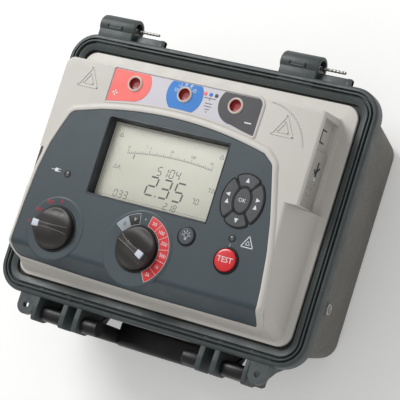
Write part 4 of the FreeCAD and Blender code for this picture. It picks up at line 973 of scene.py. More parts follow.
def fascia_outline():
    """Outline of the fascia film: straight flanks, a shallow arc at the rear."""
    x = np.linspace(-84.6, 83.0, 22)
    arc = np.stack([x, rear_arc(x)], 1)[::-1]
    front_and_right = [(-133.8, -93.4), (-60.0, -95.8), (0.0, -96.6), (113.6, -96.6),
                       (117.9, -82.0), (116.4, -66.0), (112.6, -38.0), (106.7, -10.4),
                       (99.5, 14.9), (93.0, 36.6)]
    left = [(-113.6, 42.6), (-120.0, 25.7), (-125.2, 10.0), (-129.7, -15.2), (-132.0, -46.9),
            (-133.2, -80.0)]
    corners = np.vstack([front_and_right, arc, left])
    radii = np.r_[7.0, 60, 60, 2.5, 8, 40, 60, 60, 60, 9.0, np.zeros(len(arc)),
                  9.0, 30, 40, 60, 60, 30]
    return clean(soft_path(corners, radii, 9))


def build_fascia():
    """The fascia film and the raised light band round it.

    The film runs from its outline to the display opening: ring t lies at outline * (1 - t) +
    opening * t, on the deck's height. The band is a low rounded profile carried outside it.
    """
    thick = mm("fascia_thick")
    (dx0, dy0, _), (dx1, dy1, _) = span("display_frame")
    centre = np.array([(dx0 + dx1) / 2, (dy0 + dy1) / 2])
    half = np.array([(dx1 - dx0) / 2, (dy1 - dy0) / 2]) - 0.2
    outline = fascia_outline()
    looped = np.vstack([outline, outline[:1]])
    length_along = np.r_[0, np.cumsum(np.linalg.norm(np.diff(looped, axis=0), axis=1))]
    even = np.linspace(0, length_along[-1], 420, endpoint=False)
    outer = np.stack([np.interp(even, length_along, looped[:, i]) for i in (0, 1)], 1)
    ray = outer - centre
    reach = np.min(half / np.maximum(np.abs(ray), 1e-6), axis=1)[:, None]
    inner = centre + ray * reach
    inset = outer - outward(outer) * 0.35
    share = np.linspace(0, 1, 46)[:, None, None]
    top = inset[None] * (1 - share) + inner[None] * share
    surface = np.concatenate([outer[None], outer[None], top, inner[None]], 0)
    z = ground(surface[..., 0], surface[..., 1])
    lift = np.r_[-0.6, thick - 0.35, np.full(46, thick), -0.6][:, None]
    points = np.concatenate([surface, (z + lift)[..., None]], -1)
    film = grid(points, closed_rows=True, closed_columns=True)
    piece("fascia", [film], [fascia_finish()], "tester", "fascia", ["fascia_overlay"])

    wide = mm("bezel_width")
    rise = mm("bezel_rise")
    step = outward(outer)
    rear = np.clip((outer[:, 1] - 30) / 12, 0, 1)
    right = np.clip((outer[:, 0] - 60) / 20, 0, 1) * (1 - rear)
    left = np.clip((-100 - outer[:, 0]) / 15, 0, 1) * np.clip((-20 - outer[:, 1]) / 40, 0, 1)
    width = (4.4 + (wide - 4.4) * rear + 1.2 * right - 1.2 * left)[:, None]
    profile = np.array([(0.0, -1.2), (0.0, 0.55), (0.04, 0.9), (0.12, 1.0), (0.3, 1.0),
                        (0.55, 0.92), (0.75, 0.62), (0.9, 0.2), (1.0, -0.3), (1.0, -1.2)])
    flat = outer[None] + step[None] * (0.25 + profile[:, 0, None, None] * width[None])
    height = ground(flat[..., 0], flat[..., 1]) + profile[:, 1, None] * rise
    points = np.concatenate([flat, height[..., None]], -1)
    band = grid(points, closed_rows=True, closed_columns=True)
    piece("fascia_bezel", [band], [panel_finish()], "tester", "panel_plastic")


def build_display():
    """The display: dark funnel, pale crystal plate, segments and clear window."""
    navy = finish("Display recess", paint(36, 42, 50), 0.38, 0.08, 2200, 0.02)
    pale = finish("Display glass", tint("display"), 0.32, 0.05, 2500, 0.004, mottle=0.03,
                  patch=22)
    ink = finish("Display segments", tint("segment"), 0.45, 0.05, 2500, 0.004, mottle=0.06)
    (fx0, fy0, fz0), (fx1, fy1, fz1) = span("display_frame")
    (wx0, wy0, wz0), (wx1, wy1, wz1) = span("display_window")

    def ring(inset, corner):
        return oblong((fx0 + inset, fy0 + inset), (fx1 - inset, fy1 - inset), corner, 8)

    rings = [(0.0, fz0, 2.4), (0.0, fz1 + 0.1, 2.4), (0.4, fz1 + 0.3, 2.2), (0.8, fz1 + 0.3, 2.0),
             (1.2, fz1, 2.0), (2.2, wz1 + 0.4, 2.0), (2.4, wz0 + 0.3, 1.6), (2.4, fz0, 1.6)]
    loops = np.stack([np.c_[ring(i, c), np.full(len(ring(i, c)), z)] for i, z, c in rings])
    funnel = grid(loops, closed_rows=True, closed_columns=True)
    piece("display_funnel", [funnel], [navy], "tester", "display_black", ["display_frame"])

    face = wz0 + 0.25
    crystal = plate(oblong((wx0 + 0.6, wy0 + 0.6), (wx1 - 0.6, wy1 - 0.6), 0.6), wz0 - 1.5, face,
                    0.1)
    border = carry(oblong((wx0 + 2.4, wy0 + 2.4), (wx1 - 2.4, wy1 - 2.4), 0.8),
                   [(-0.1, face - 0.05), (-0.1, face + 0.04), (0.1, face + 0.04),
                    (0.1, face - 0.05)], mark=1)

    low, high = face - 0.04, face + 0.06
    parts = [crystal, border]

    def digits(text, corner, tall, weight):
        """Seven-bar figures, leaning, from their lower left corner."""
        wide = tall * 0.52
        bars = {"a": ((0, 1), (1, 1)), "b": ((1, 1), (1, 0.5)), "c": ((1, 0.5), (1, 0)),
                "d": ((0, 0), (1, 0)), "e": ((0, 0.5), (0, 0)), "f": ((0, 1), (0, 0.5)),
                "g": ((0, 0.5), (1, 0.5))}
        shown = {"0": "abcdef", "1": "bc", "2": "abged", "3": "abgcd", "4": "fgbc", "5": "afgcd",
                 "6": "afgedc", "7": "abc", "8": "abcdefg", "9": "abcfgd", "-": "g"}
        lines, x = [], corner[0]
        for sign in text:
            if sign == ".":
                lines.append(((x - wide * 0.32, corner[1]), (x - wide * 0.3, corner[1])))
                continue
            for bar in shown.get(sign, ""):
                (ax, ay), (bx, by) = bars[bar]
                a = np.array([x + ax * wide + ay * tall * 0.1, corner[1] + ay * tall])
                b = np.array([x + bx * wide + by * tall * 0.1, corner[1] + by * tall])
                gap = (b - a) / max(np.linalg.norm(b - a), 1e-6) * weight * 0.85
                lines.append((tuple(a + gap), tuple(b - gap)))
            x += wide * 1.62
        return strokes(np.array(lines), weight, low, high, mark=1)

    tall = mm("digit_height")
    parts.append(digits("2.35", (-22.5, -12.8), tall, 1.5))
    parts.append(digits("5104", (-16.5, 6.0), 7.4, 0.8))
    parts.append(digits("033", (-52.5, -21.2), 6.2, 0.7))
    parts.append(digits("2.18", (-0.5, -21.8), 5.6, 0.65))
    parts.append(digits("70", (24.5, -11.0), 4.8, 0.55))
    scale_x = np.linspace(-51.0, 34.5, 49)

    def scale_line(x):
        """Height of the bowed scale on the display at a place across it."""
        return 23.2 - 0.0018 * (x + 1) ** 2

    base = np.stack([scale_x, scale_line(scale_x)], 1)
    parts.append(strokes(chain(base, closed=False), 0.35, low, high, mark=1))
    count = np.arange(len(base))
    tick = np.where(count % 12 == 0, 3.6, np.where(count % 4 == 0, 2.4, 1.3))[:, None]
    tips = base + np.concatenate([0 * tick, tick], 1)
    parts.append(strokes(np.stack([base, tips], 1), 0.32, low, high, mark=1))
    parts.append(strokes([((-43.5, 18.6), (-43.8, 15.2))], 0.9, low, high, mark=1))
    for x, label in ((-51, "0"), (-29.5, "1"), (-8, "10"), (13.5, "100"), (33, "1k")):
        parts.append(lettering(label, 2.3, (x, scale_line(x) + 5.6), low, high, mark=1))
    for x, y in ((-62.0, 33.5), (-59.0, 5.0), (40.5, 34.5), (42.0, 4.0)):
        mark = np.array([(-1.8, -1.5), (1.8, -1.5), (0.0, 1.9)]) + (x, y)
        parts.append(strokes(chain(mark), 0.4, low, high, mark=1))
    parts.append(strokes([((-56.6, 3.4), (-55.4, 6.6)), ((-53.4, 3.4), (-55.4, 6.6)),
                          ((38.6, 2.2), (38.6, 5.6)), ((37.2, 5.6), (39.6, 5.6))],
                         0.45, low, high, mark=1))
    piece("display_crystal", parts, [pale, ink], "tester", "lcd", ["lcd_module"])

    clear = finish("Clear window", paint(244, 248, 248), 0.06, 0.02, 1200, 0.001, mottle=0.0,
                   transmission=1.0)
    shader = clear.node_tree.nodes["Principled BSDF"]
    shader.inputs["IOR"].default_value = 1.12
    shader.inputs["Alpha"].default_value = 0.2
    pane = plate(oblong((wx0 + 0.5, wy0 + 0.5), (wx1 - 0.5, wy1 - 0.5), 0.6), wz1 - 0.6, wz1, 0.1)
    piece("display_pane", [pane], [clear], "tester", "window", ["display_window"])


# ---------------------------------------------------------------- terminals


def strip_outline():
    """Outline of the terminal strip: its front edge follows the fascia's rear arc."""
    (x0, _, _), (x1, y1, _) = span("label_strip")
    x = np.linspace(x0, x1, 20)
    arc = np.stack([x, rear_arc(x) + STRIP_SETBACK], 1)
    corners = np.vstack([arc, [(x1 + 0.6, y1), (x0, y1)]])
    return clean(soft_path(corners, np.r_[1.0, np.zeros(18), 1.0, 7.0, 1.5], 8))


def clip_label(outline, margin=0.6):
    """A label outline held inside the terminal strip's front arc and rear edge."""
    rear = span("label_strip")[1][1]
    x, y = outline.T
    front = rear_arc(x) + STRIP_SETBACK + margin
    return clean(np.stack([x, np.clip(y, front, rear - margin)], 1))


def build_terminals():
    """The terminal strip, its three labels, the collars and the red sockets."""
    strip_shade = finish("Strip print", paint(206, 203, 212), 0.38, 0.06, 2600, 0.008,
                         mottle=0.02)
    collar_shade = finish("Collar grey", paint(222, 214, 204), 0.36, 0.08, 1900, 0.02)
    low, high = span("terminal_collars")
    centres = [np.array([middle(n)[0], (low[1] + high[1]) / 2])
               for n in ("positive_label", "guard_label", "negative_label")]
    centres[0][0], centres[2][0] = low[0] + 8.2, high[0] - 8.2
    radius = 5.5
    deck = mm("deck_height")
    holes = [round_outline(c, radius + 0.9, 48) for c in centres]
    outline = strip_outline()
    strip = holed_plate(outline, holes, deck - 0.4, deck + 0.15)
    frame_band = carry(outline, [(0.1, deck - 0.6), (0.1, deck + 0.7), (0.4, deck + 1.05),
                                 (1.0, deck + 1.15), (1.9, deck + 0.95), (2.6, deck + 0.3),
                                 (2.9, deck - 0.6)], mark=1)
    marks = []
    base_x = centres[1][0] + 25.0
    for dx, shade in ((-5.5, 2), (0, 3), (5.5, 4)):
        marks.append(plate(round_outline((base_x + dx, 84.0), 1.8, 24), deck, deck + 0.28, 0.05,
                           shade))
    rods = np.array([(-5.5, 80.6, 5.5, 80.6), (0, 80.6, 0, 78.6), (-3.4, 75.8, 3.4, 75.8),
                     (-3.4, 73.2, 3.4, 73.2), (-2.2, 70.6, 2.2, 70.6), (0, 67.6, 0, 69.0)])
    rods = rods.reshape(-1, 2, 2) + (base_x, 0)
    marks.append(strokes(rods, 0.55, deck, deck + 0.28, mark=4))
    red, blue, dark = label_finishes()
    piece("terminal_strip", [strip, frame_band] + marks,
          [strip_shade, panel_finish(), red, blue, dark], "tester", "strip_white",
          ["label_strip"])

    (x0, y0, _), (x1, y1, _) = span("positive_label")
    bow = centres[0] + 16.2 * compass(np.linspace(-90, 90, 40))
    side_y = np.linspace(y1, y0, 12)
    edge = np.stack([np.full(12, x0 + 0.2), side_y], 1)
    tab_red = clip_label(np.vstack([[(x0 + 2, y0)], bow, edge]))
    disc = clip_label(round_outline(centres[1], 18.0, 96))
    (x0, y0, _), (x1, y1, _) = span("negative_label")
    bow = centres[2] + 16.8 * compass(np.linspace(90, 270, 40))
    corner = soft_path([(x1 - 12, y0 - 5), (x1 + 0.2, y0 - 5), (x1 + 0.2, y1 + 0.3),
                        (x1 - 12, y1 + 0.3)], [0, 0, 6.5, 0], 10)
    tab_dark = clip_label(np.vstack([bow, clean(corner)]))
    white = white_print()
    top = deck + 0.42
    for name, outline, shade, index, slot in (
            ("positive", tab_red, red, 0, "label_red"), ("guard", disc, blue, 1, "label_blue"),
            ("negative", tab_dark, dark, 2, "label_dark")):
        parts = [holed_plate(outline, [round_outline(centres[index], radius + 1.1, 48)],
                             deck + 0.1, top)]
        at = centres[index]
        if name == "positive":
            plus = np.array([((-2.4, 0), (2.4, 0)), ((0, -2.4), (0, 2.4))]) + (at[0] - 17.4, 67.8)
            parts.append(strokes(plus, 1.1, top - 0.1, top + 0.1, mark=1))
        elif name == "negative":
            parts.append(strokes([((at[0] + 13, 66.6), (at[0] + 19, 66.6))], 1.1, top - 0.1,
                                 top + 0.1, mark=1))
        else:
            for sign, degrees in zip("GUARD", (158, 127, 96, 65, 34)):
                spot = at + (0, -0.9) + 10.2 * compass(degrees)
                parts.append(lettering(sign, 3.3, spot, top - 0.1, top + 0.1,
                                       math.radians(degrees - 90), mark=1))
        piece(name + "_tab", parts, [shade, white], "tester", slot, [name + "_label"])

    collars, liners = [], []
    for at in centres:
        profile = [(radius, deck - 2.4), (radius, deck + 1.3), (radius + 0.25, deck + 1.75),
                   (radius + 0.7, deck + 1.95), (radius + 1.4, deck + 1.6),
                   (radius + 1.85, deck + 0.9), (radius + 1.9, deck + 0.2),
                   (radius + 0.8, deck + 0.1), (radius + 0.8, deck - 2.4)]
        collars.append(lathe(profile, at, 56, closed=True))
        cup = [(radius - 0.02, deck + 0.9), (radius - 0.02, deck - 2.6), (0, deck - 2.6),
               (0, deck - 2.35), (2.2, deck - 2.35), (radius - 0.9, deck - 2.3),
               (radius - 0.35, deck - 2.0), (radius - 0.25, deck + 0.9)]
        liners.append(lathe(cup, at, 48, closed=True))
    piece("collars", collars, [collar_shade], "tester", "white_plastic", ["terminal_collars"])
    # the shutter's own red, made darker to paint the shade of a deep socket bore onto the shallow
    # cups and the shutter plate
    shutter_red_and_shade = finish("Shutter red", paint(160, 14, 16), 0.34, 0.08, 1800, 0.02)
    piece("socket_cups", liners, [shutter_red_and_shade], "tester", "shutter_red")
    repaint("shutter_plate", shutter_red_and_shade)


# ---------------------------------------------------------------- controls


def knob_surface(centre, heading, low, high, radius):
    """A knob: a round body whose top rises in two hollow flanks to a finger fin.

    Over the disc the height is plate + (crest - plate) * (1 - f)^2.3, where f is how far a
    point lies from the fin towards the rim. The crest is level as far as the pointer and falls
    away behind it by the 1.8th power of the distance; the last ring drops over a rounded edge.
    """
    plate_z = low + mm("knob_plate")
    r = radius * np.r_[np.linspace(0, 0.9, 34), 0.93, 0.955, 0.975, 0.99, 1.0][:, None]
    a = np.linspace(0, 2 * math.pi, 216, endpoint=False)[None]
    x, y = r * np.cos(a), r * np.sin(a)
    half = mm("fin_half_width") + 1.5 * (x / radius) ** 2
    away = np.clip((np.hypot(np.maximum(np.abs(y) - half, 0), 0.25) - 0.25)
                   / (radius * 0.86 - half), 0, 1)
    u = x / radius
    ahead = np.clip((u - 0.78) / 0.22, 0, 1)
    crest = np.where(u > 0, 1 - 0.55 * ahead ** 2 * (3 - 2 * ahead), 1 - 0.8 * np.abs(u) ** 1.8)
    z = plate_z + (high - plate_z) * crest * (1 - away) ** 2.3
    edge = np.clip((r / radius - 0.9) / 0.1, 0, 1)
    z = z - 1.6 * (1 - np.sqrt(1 - edge ** 2))
    rings = np.stack([x, y, z], -1)
    wall = rings[-1].copy()
    wall[:, 2] = low + 0.6
    foot = wall * (0.985, 0.985, 1.0)
    foot[:, 2] = low
    pole = foot * (0.0, 0.0, 1.0)
    rings = np.concatenate([rings, wall[None], foot[None], pole[None]], 0)
    cos, sin = math.cos(heading), math.sin(heading)
    spun = rings.copy()
    spun[..., 0] = centre[0] + rings[..., 0] * cos - rings[..., 1] * sin
    spun[..., 1] = centre[1] + rings[..., 0] * sin + rings[..., 1] * cos
    return grid(spun, closed_columns=True)


def turned_outline(outline, centre, heading):
    """An outline about the origin, turned by a heading and set on a centre."""
    cos, sin = math.cos(heading), math.sin(heading)
    x, y = np.asarray(outline).T
    return np.stack([centre[0] + x * cos - y * sin, centre[1] + x * sin + y * cos], 1)


def sector(centre, inner, outer, first, last, count=16):
    """Outline of a piece of a ring between two radii and two angles in degrees."""
    arc = compass(np.linspace(first, last, count))
    return np.vstack([np.asarray(centre) + outer * arc, np.asarray(centre) + inner * arc[::-1]])


def build_knobs():
    """Both rotary knobs with fins and white pointers, their black rings and dished surrounds."""
    brown = finish("Knob brown black", tint("knob"), 0.42, 0.1, 1800, 0.03, mottle=0.1, wear=0.4)
    white = finish("Pointer white", paint(206, 212, 224), 0.4, 0.08, 1800, 0.02, mottle=0.03)
    # pale colour for lines along the fin's crest edges: painted highlight on the black knob
    pale = finish("Knob crest line", paint(150, 146, 142), 0.45, 0.08, 1800, 0.02)
    rubber = black_rubber()
    film = fascia_finish()
    top = mm("deck_height") + mm("fascia_thick")
    for name, degrees, surround in (("mode_knob", 180.0, 29.0), ("range_knob", -24.0, 34.0)):
        centre, radius, low, high = disc_of(name)
        heading = math.radians(degrees)
        tip = span(name + "_pointer")[1][2]
        body = knob_surface(centre, heading, low, high, radius)
        cap = clean(soft_path([(8.9, -2.9), (15.9, -3.3), (15.9, 3.3), (8.9, 2.9)], 1.0, 6))
        pointer = plate(turned_outline(cap, centre, heading), low + 2.0, tip, 0.8, mark=1)
        lines = []
        for side in (1, -1):
            t = np.linspace(-0.86, 0.46, 24) * radius
            y = side * (mm("fin_half_width") + 1.5 * (t / radius) ** 2)
            lines.append(chain(turned_outline(np.stack([t, y], 1), centre, heading), False))

        def fin_top(px, py):
            """Height of the finger fin's crest under a point."""
            along = ((px - centre[0]) * math.cos(heading) + (py - centre[1]) * math.sin(heading))
            drop = np.where(along < 0, 0.8 * np.abs(along / radius) ** 1.8, 0)
            return high - (high - low - mm("knob_plate")) * drop

        # thin pale bars on both crest edges of the fin: painted highlight
        crest = strokes(np.concatenate(lines), 0.32, -0.5, 0.05, mark=2, ground=fin_top)
        piece(name + "_grip", [body, pointer, crest], [brown, white, pale], name, "knob_plastic",
              [name, name + "_pointer"])
        out = disc_of(name + "_seal")[1]
        ring = [(out - 1.6, top - 0.3), (out - 1.6, top + 0.6), (out - 1.2, top + 1.05),
                (out - 0.2, top + 1.05), (out + 0.3, top + 0.5), (out + 0.3, top - 0.3)]
        piece(name + "_ring", [lathe(ring, centre, 96, closed=True)], [rubber], "tester",
              "black_rubber", [name + "_seal"])
        dish = [(out + 0.4, top - 0.3), (out + 0.4, top + 0.05), (surround - 1.6, top + 0.28),
                (surround - 0.5, top + 0.3), (surround, top + 0.12), (surround + 0.1, top - 0.3)]
        piece(name + "_surround", [lathe(dish, centre, 120, closed=True)], [film], "tester",
              "fascia")


def build_dials():
    """Printed scales round both knobs, the plug mark and the plain triangle."""
    inks = (("red", (218, 44, 50)), ("grey", (150, 160, 166)), ("black", (26, 27, 30)),
            ("crimson", (196, 40, 60)))
    shades = [white_print()] + [finish("Dial " + name, paint(*shade), 0.42, 0.06, 2600, 0.01,
                                       mottle=0.05) for name, shade in inks]
    top = mm("deck_height") + mm("fascia_thick") + 0.3
    low, high = top - 0.25, top + 0.05
    centre = middle("range_knob")
    inner, outer = 21.3, 31.0
    parts = [plate(sector(centre, inner, outer, -58, 79.5, 70), low, high, 0.05, 1),
             plate(sector(centre, inner, outer, 124.5, 148, 14), low, high, 0.05, 2),
             plate(sector(centre, inner, outer, 101.5, 123.5, 14), low, high, 0.05, 3)]
    rim = sector(centre, inner, outer, -58, 79.5, 70)
    parts.append(strokes(chain(rim), 0.3, high - 0.04, high + 0.05))
    for degrees in (56.5, 33.6, 10.7, -12.2, -35.1):
        ray = compass(degrees)
        parts.append(strokes([(centre + inner * ray, centre + outer * ray)], 0.3, high - 0.04,
                             high + 0.05))
    rim = sector(centre, inner, outer, 101.5, 148, 24)
    parts.append(strokes(chain(rim), 0.25, high - 0.04, high + 0.05))
    middle_radius = (inner + outer) / 2
    printed = (("50", 68, 0, 3.1), ("100", 45, 0, 3.1), ("250", 22, 0, 3.1),
               ("500", -1, 0, 3.1), ("1k", -24, 0, 3.1), ("5k", -47, 0, 3.1),
               ("V", 112.5, 0, 3.0), ("0", 136, 3, 3.6), ("+", 90, 0, 2.4))
    for words, degrees, shade, tall in printed:
        spot = centre + middle_radius * compass(degrees)
        lean = 0.0 if shade == 3 else -0.15
        parts.append(lettering(words, tall, spot, high - 0.04, high + 0.05, lean, shade))
    piece("range_scale", parts, shades, "tester", "label_red")

    centre = middle("mode_knob")
    parts = []
    for words, degrees, reach in (("0", 178, 28.5), ("100", 150, 25.6), ("200", 120, 25.4),
                                  ("A", 92, 25.0)):
        spot = centre + reach * compass(degrees)
        parts.append(lettering(words, 3.5, spot, high - 0.1, high + 0.04, 0.0, 4))
    piece("mode_scale", parts, shades, "tester", "label_red")

    top = mm("deck_height") + mm("fascia_thick")
    low, high = top - 0.05, top + 0.09
    x, y = middle("power_lamp") + (-12.4, 1.2)
    parts = [plate(oblong((x - 1.6, y - 1.7), (x + 2.0, y + 1.7), 1.0), low, high, 0.04),
             strokes([((x - 4.8, y), (x - 1.6, y)), ((x + 2, y + 1.1), (x + 4.4, y + 1.1)),
                      ((x + 2, y - 1.1), (x + 4.4, y - 1.1))], 0.5, low, high)]
    x, y = middle("high_voltage_lamp") + (15.4, -1.4)
    for reach, width in ((6.6, 0.75), (2.4, 0.5)):
        corners = np.array([x, y]) + reach * compass(TRIANGLE)
        parts.append(strokes(chain(corners), width, low, high))
    x, y = middle("high_voltage_lamp")
    parts.append(strokes([((x, y - 5.0), (x, y - 8.6))], 0.3, low, high))
    piece("panel_marks", parts, shades, "tester", "white_plastic")


def key_outline(centre, inner, outer, first, last, soft=5.0):
    """Outline of an arrow key: a piece of an oval ring, its corners rounded by parabolas.

    A point lies at (inner + (outer - inner) * share) * (cos, sin) of its angle. Each corner is
    the curve (1 - t)^2 a + 2 t (1 - t) b + t^2 c between points short of the corner b.
    """

    def at(share, degrees):
        reach = inner + (outer - inner) * np.asarray(share, float)[..., None]
        return centre + reach * compass(degrees)

    def corner(a, b, c):
        t = np.linspace(0, 1, 7)[1:-1, None]
        a, b, c = (at(*place) for place in (a, b, c))
        return (1 - t) ** 2 * a + 2 * t * (1 - t) * b + t ** 2 * c

    rim = np.linspace(first + soft, last - soft, 20)
    hub = np.linspace(last - 2 * soft, first + 2 * soft, 12)
    return np.vstack([
        at(np.ones(20), rim), corner((1, last - soft), (1, last), (0.82, last)),
        at([0.82, 0.22], [last, last]), corner((0.22, last), (0, last), (0, last - 2 * soft)),
        at(np.zeros(12), hub), corner((0, first + 2 * soft), (0, first), (0.22, first)),
        at([0.22, 0.82], [first, first]), corner((0.82, first), (1, first), (1, first + soft))])


def build_keys():
    """The key pad: four arrow keys round an oval key, with black outlines and pale signs."""
    rubber = finish("Key rubber", tint("key"), 0.6, 0.08, 1500, 0.09, cells=0.7, mottle=0.06,
                    specks=0.35)
    ink = black_rubber()
    white = white_print()
    spans = [span(n) for n in ("left_key", "right_key", "up_key", "down_key")]
    x0, x1 = spans[0][0][0], spans[1][1][0]
    y0, y1 = spans[3][0][1], spans[2][1][1]
    centre = np.array([(x0 + x1) / 2, (y0 + y1) / 2])
    outer = np.array([(x1 - x0) / 2, (y1 - y0) / 2])
    inner = np.array([9.0, 12.6])
    line = mm("outline_width")
    film = mm("deck_height") + mm("fascia_thick")
    low, high = film + mm("key_travel") + 0.02, spans[0][1][2]
    outlines = {"up_key": key_outline(centre, inner, outer, 55, 123),
                "left_key": key_outline(centre, inner, outer, 131, 228),
                "down_key": key_outline(centre, inner, outer, 236, 303),
                "right_key": key_outline(centre, inner, outer, 311, 408)}
    ok_low, ok_high = span("ok_key")
    outlines["ok_key"] = round_outline(middle("ok_key"), ((ok_high - ok_low) / 2)[:2], 72)
    signs = {"up_key": ((0.0, 17.4, 90),), "down_key": ((0.0, -17.4, 270),),
             "left_key": ((-14.2, 3.0, 180), (-13.6, -3.4, 90)),
             "right_key": ((14.2, 3.0, 0), (13.6, -3.4, 90))}
    rings = []
    for name, outline in outlines.items():
        t = np.linspace(0, math.pi / 2, 6)
        edge = np.stack([-0.15 - 0.5 * (1 - np.cos(t)), high - 0.22 + 0.22 * np.sin(t)], 1)
        parts = [carry(outline, np.vstack([[(-0.15, low)], edge]), caps=True)]
        for dx, dy, degrees in signs.get(name, ()):
            tri = centre + (dx, dy) + 2.5 * compass(np.array([0, 130, 230]) + degrees)
            parts.append(plate(tri, high - 0.1, high + 0.04, 0.03, mark=1))
        if name == "ok_key":
            parts.append(lettering("OK", 3.5, centre, high - 0.1, high + 0.04, 0, 1))
        piece(name + "_cap", parts, [rubber, white], name, "key_rubber", [name])
        rings.append(carry(outline, [(0.1, film - 0.4), (0.1, high - 0.2), (0.35, high + 0.02),
                                     (0.1 + line - 0.25, high + 0.02), (0.1 + line, high - 0.25),
                                     (0.1 + line, film - 0.4)]))
    piece("key_outlines", rings, [ink], "tester", "black_rubber")


def build_buttons():
    """The red test button, the dark lamp key, their rings and the two small lamps."""
    red = finish("Test red", tint("test"), 0.26, 0.06, 1500, 0.02, mottle=0.04, coat=0.5)
    dark = finish("Lamp key", paint(72, 78, 84), 0.55, 0.08, 1500, 0.07, specks=0.25)
    ink = black_rubber()
    white = white_print()
    lens = finish("Lamp lens", paint(96, 100, 100), 0.18, 0.05, 900, 0.005, coat=0.6)
    film = mm("deck_height") + mm("fascia_thick")
    low = film + mm("key_travel") + 0.02
    centre, radius, _, high = disc_of("test_button")
    dome = [(0, low), (radius, low), (radius, high - 1.3), (radius - 0.3, high - 0.55),
            (radius - 1.1, high - 0.12), (radius - 2.2, high), (0, high)]
    parts = [lathe(dome, centre, 72),
             lettering("TEST", 4.8, centre, high - 0.2, high + 0.05, 0.0, 1)]
    piece("test_button_cap", parts, [red, white], "test_button", "test_red", ["test_button"])
    rings = [lathe([(radius + 0.3, film - 0.3), (radius + 0.3, film + 1.0),
                    (radius + 0.7, film + 1.35), (radius + 1.3, film + 1.25),
                    (radius + 1.8, film + 0.5), (radius + 1.9, film - 0.3)], centre, 80, True)]
    centre, radius, _, high = disc_of("backlight_key")
    cap = [(0, low), (radius, low), (radius, high - 0.15), (radius - 0.3, high - 0.04),
           (radius - 0.9, high), (0, high)]
    bulb = round_outline((centre[0], centre[1] + 0.7), 2.0, 20)
    at = np.array(centre)
    hub = at + (0.0, 0.7)
    rays = [(hub + 2.9 * ray, hub + 4.2 * ray) for ray in compass(range(0, 181, 45))]
    base = [(at + (-1.0, -2.2), at + (1.0, -2.2)), (at + (-0.8, -3.2), at + (0.8, -3.2))]
    parts = [lathe(cap, centre, 64),
             strokes(chain(bulb), 0.45, high - 0.1, high + 0.04, mark=1),
             strokes(rays + base, 0.45, high - 0.1, high + 0.04, mark=1)]
    piece("backlight_key_cap", parts, [dark, white], "backlight_key", "key_rubber",
          ["backlight_key"])
    rings.append(lathe([(radius + 0.25, film - 0.3), (radius + 0.25, film + 0.9),
                        (radius + 0.6, film + 1.2), (radius + 1.1, film + 1.1),
                        (radius + 1.5, film + 0.4), (radius + 1.6, film - 0.3)], centre, 72, True))
    for node in ("power_lamp", "high_voltage_lamp"):
        at, radius, _, high = disc_of(node)
        t = np.linspace(0, math.pi / 2, 8)
        lamp = np.vstack([[(0, film - 1.0), (radius - 0.1, film - 1.0)],
                          np.stack([(radius - 0.1) * np.cos(t),
                                    film + 0.2 + (high - film - 0.2) * np.sin(t)], 1)])
        piece(node + "_lens", [lathe(lamp, at, 32)], [lens], "tester", "lamp_clear", [node])
        rings.append(lathe([(radius, film - 0.3), (radius, film + 0.35), (radius + 0.5, film + 0.5),
                            (radius + 1.4, film + 0.3), (radius + 1.5, film - 0.3)], at, 40, True))
    piece("control_rings", rings, [ink], "tester", "black_rubber", ["button_rings"])


def build_side():
    """The slider in the side channel with its ridges, and the sockets of the panel."""
    shade = finish("Slider grey", scaled(tint("panel"), 0.72), 0.5, 0.08, 1500, 0.05, mottle=0.04)
    dark = moulded_black()
    (_, y0, z0), (face, y1, z1) = span("shutter_slider")
    body = clean(soft_path([(y0 + 0.1, z0 + 0.2), (y1 - 0.2, z0 + 0.2), (y1 - 0.2, z1 - 0.2),
                            (y0 + 0.1, z1 - 0.2)], 2.4, 8))
    parts = [upright_slab(body, face - 5.0, face - 1.2, 0.9)]
    stud = [(0, 0), (1.0, 0), (0.9, 0.7), (0.5, 1.0), (0, 1.05)]
    for row, y in enumerate(np.linspace(y0 + 6, y0 + 20, 6)):
        for z in np.linspace(z0 + 7, z1 - 6, 4):
            parts.append(turned_across(stud, (face - 1.3, y + (1.2 if row % 2 else 0), z), 12))
    sign_z = 120
    sign = [((y0 + 26, sign_z), (y0 + 40, sign_z)), ((y0 + 29, sign_z), (y0 + 33, sign_z + 4.5)),
            ((y0 + 32, sign_z), (y0 + 36, sign_z - 4.5))]
    parts.append(reorder(strokes(sign, 0.9, face - 1.4, face - 0.5, mark=1), (2, 0, 1)))
    parts.append(turned_across([(0, 0), (1.8, 0), (1.8, 0.8), (0, 0.9)],
                               (face - 1.4, y0 + 26, sign_z), 20, mark=2))
    piece("shutter_thumb", parts, [shade, dark, white_print()], "shutter_slider",
          "panel_plastic", ["shutter_slider"])
    repaint("usb_socket", dark)
    repaint("mains_inlet", dark)


def repaint(node, *shades):
    """Gives a designed part a better finish in each of its material slots."""
    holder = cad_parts[node]
    if not holder.data.materials:
        holder.data.materials.append(shades[0])
    for index in range(len(holder.data.materials)):
        holder.data.materials[index] = shades[min(index, len(shades) - 1)]


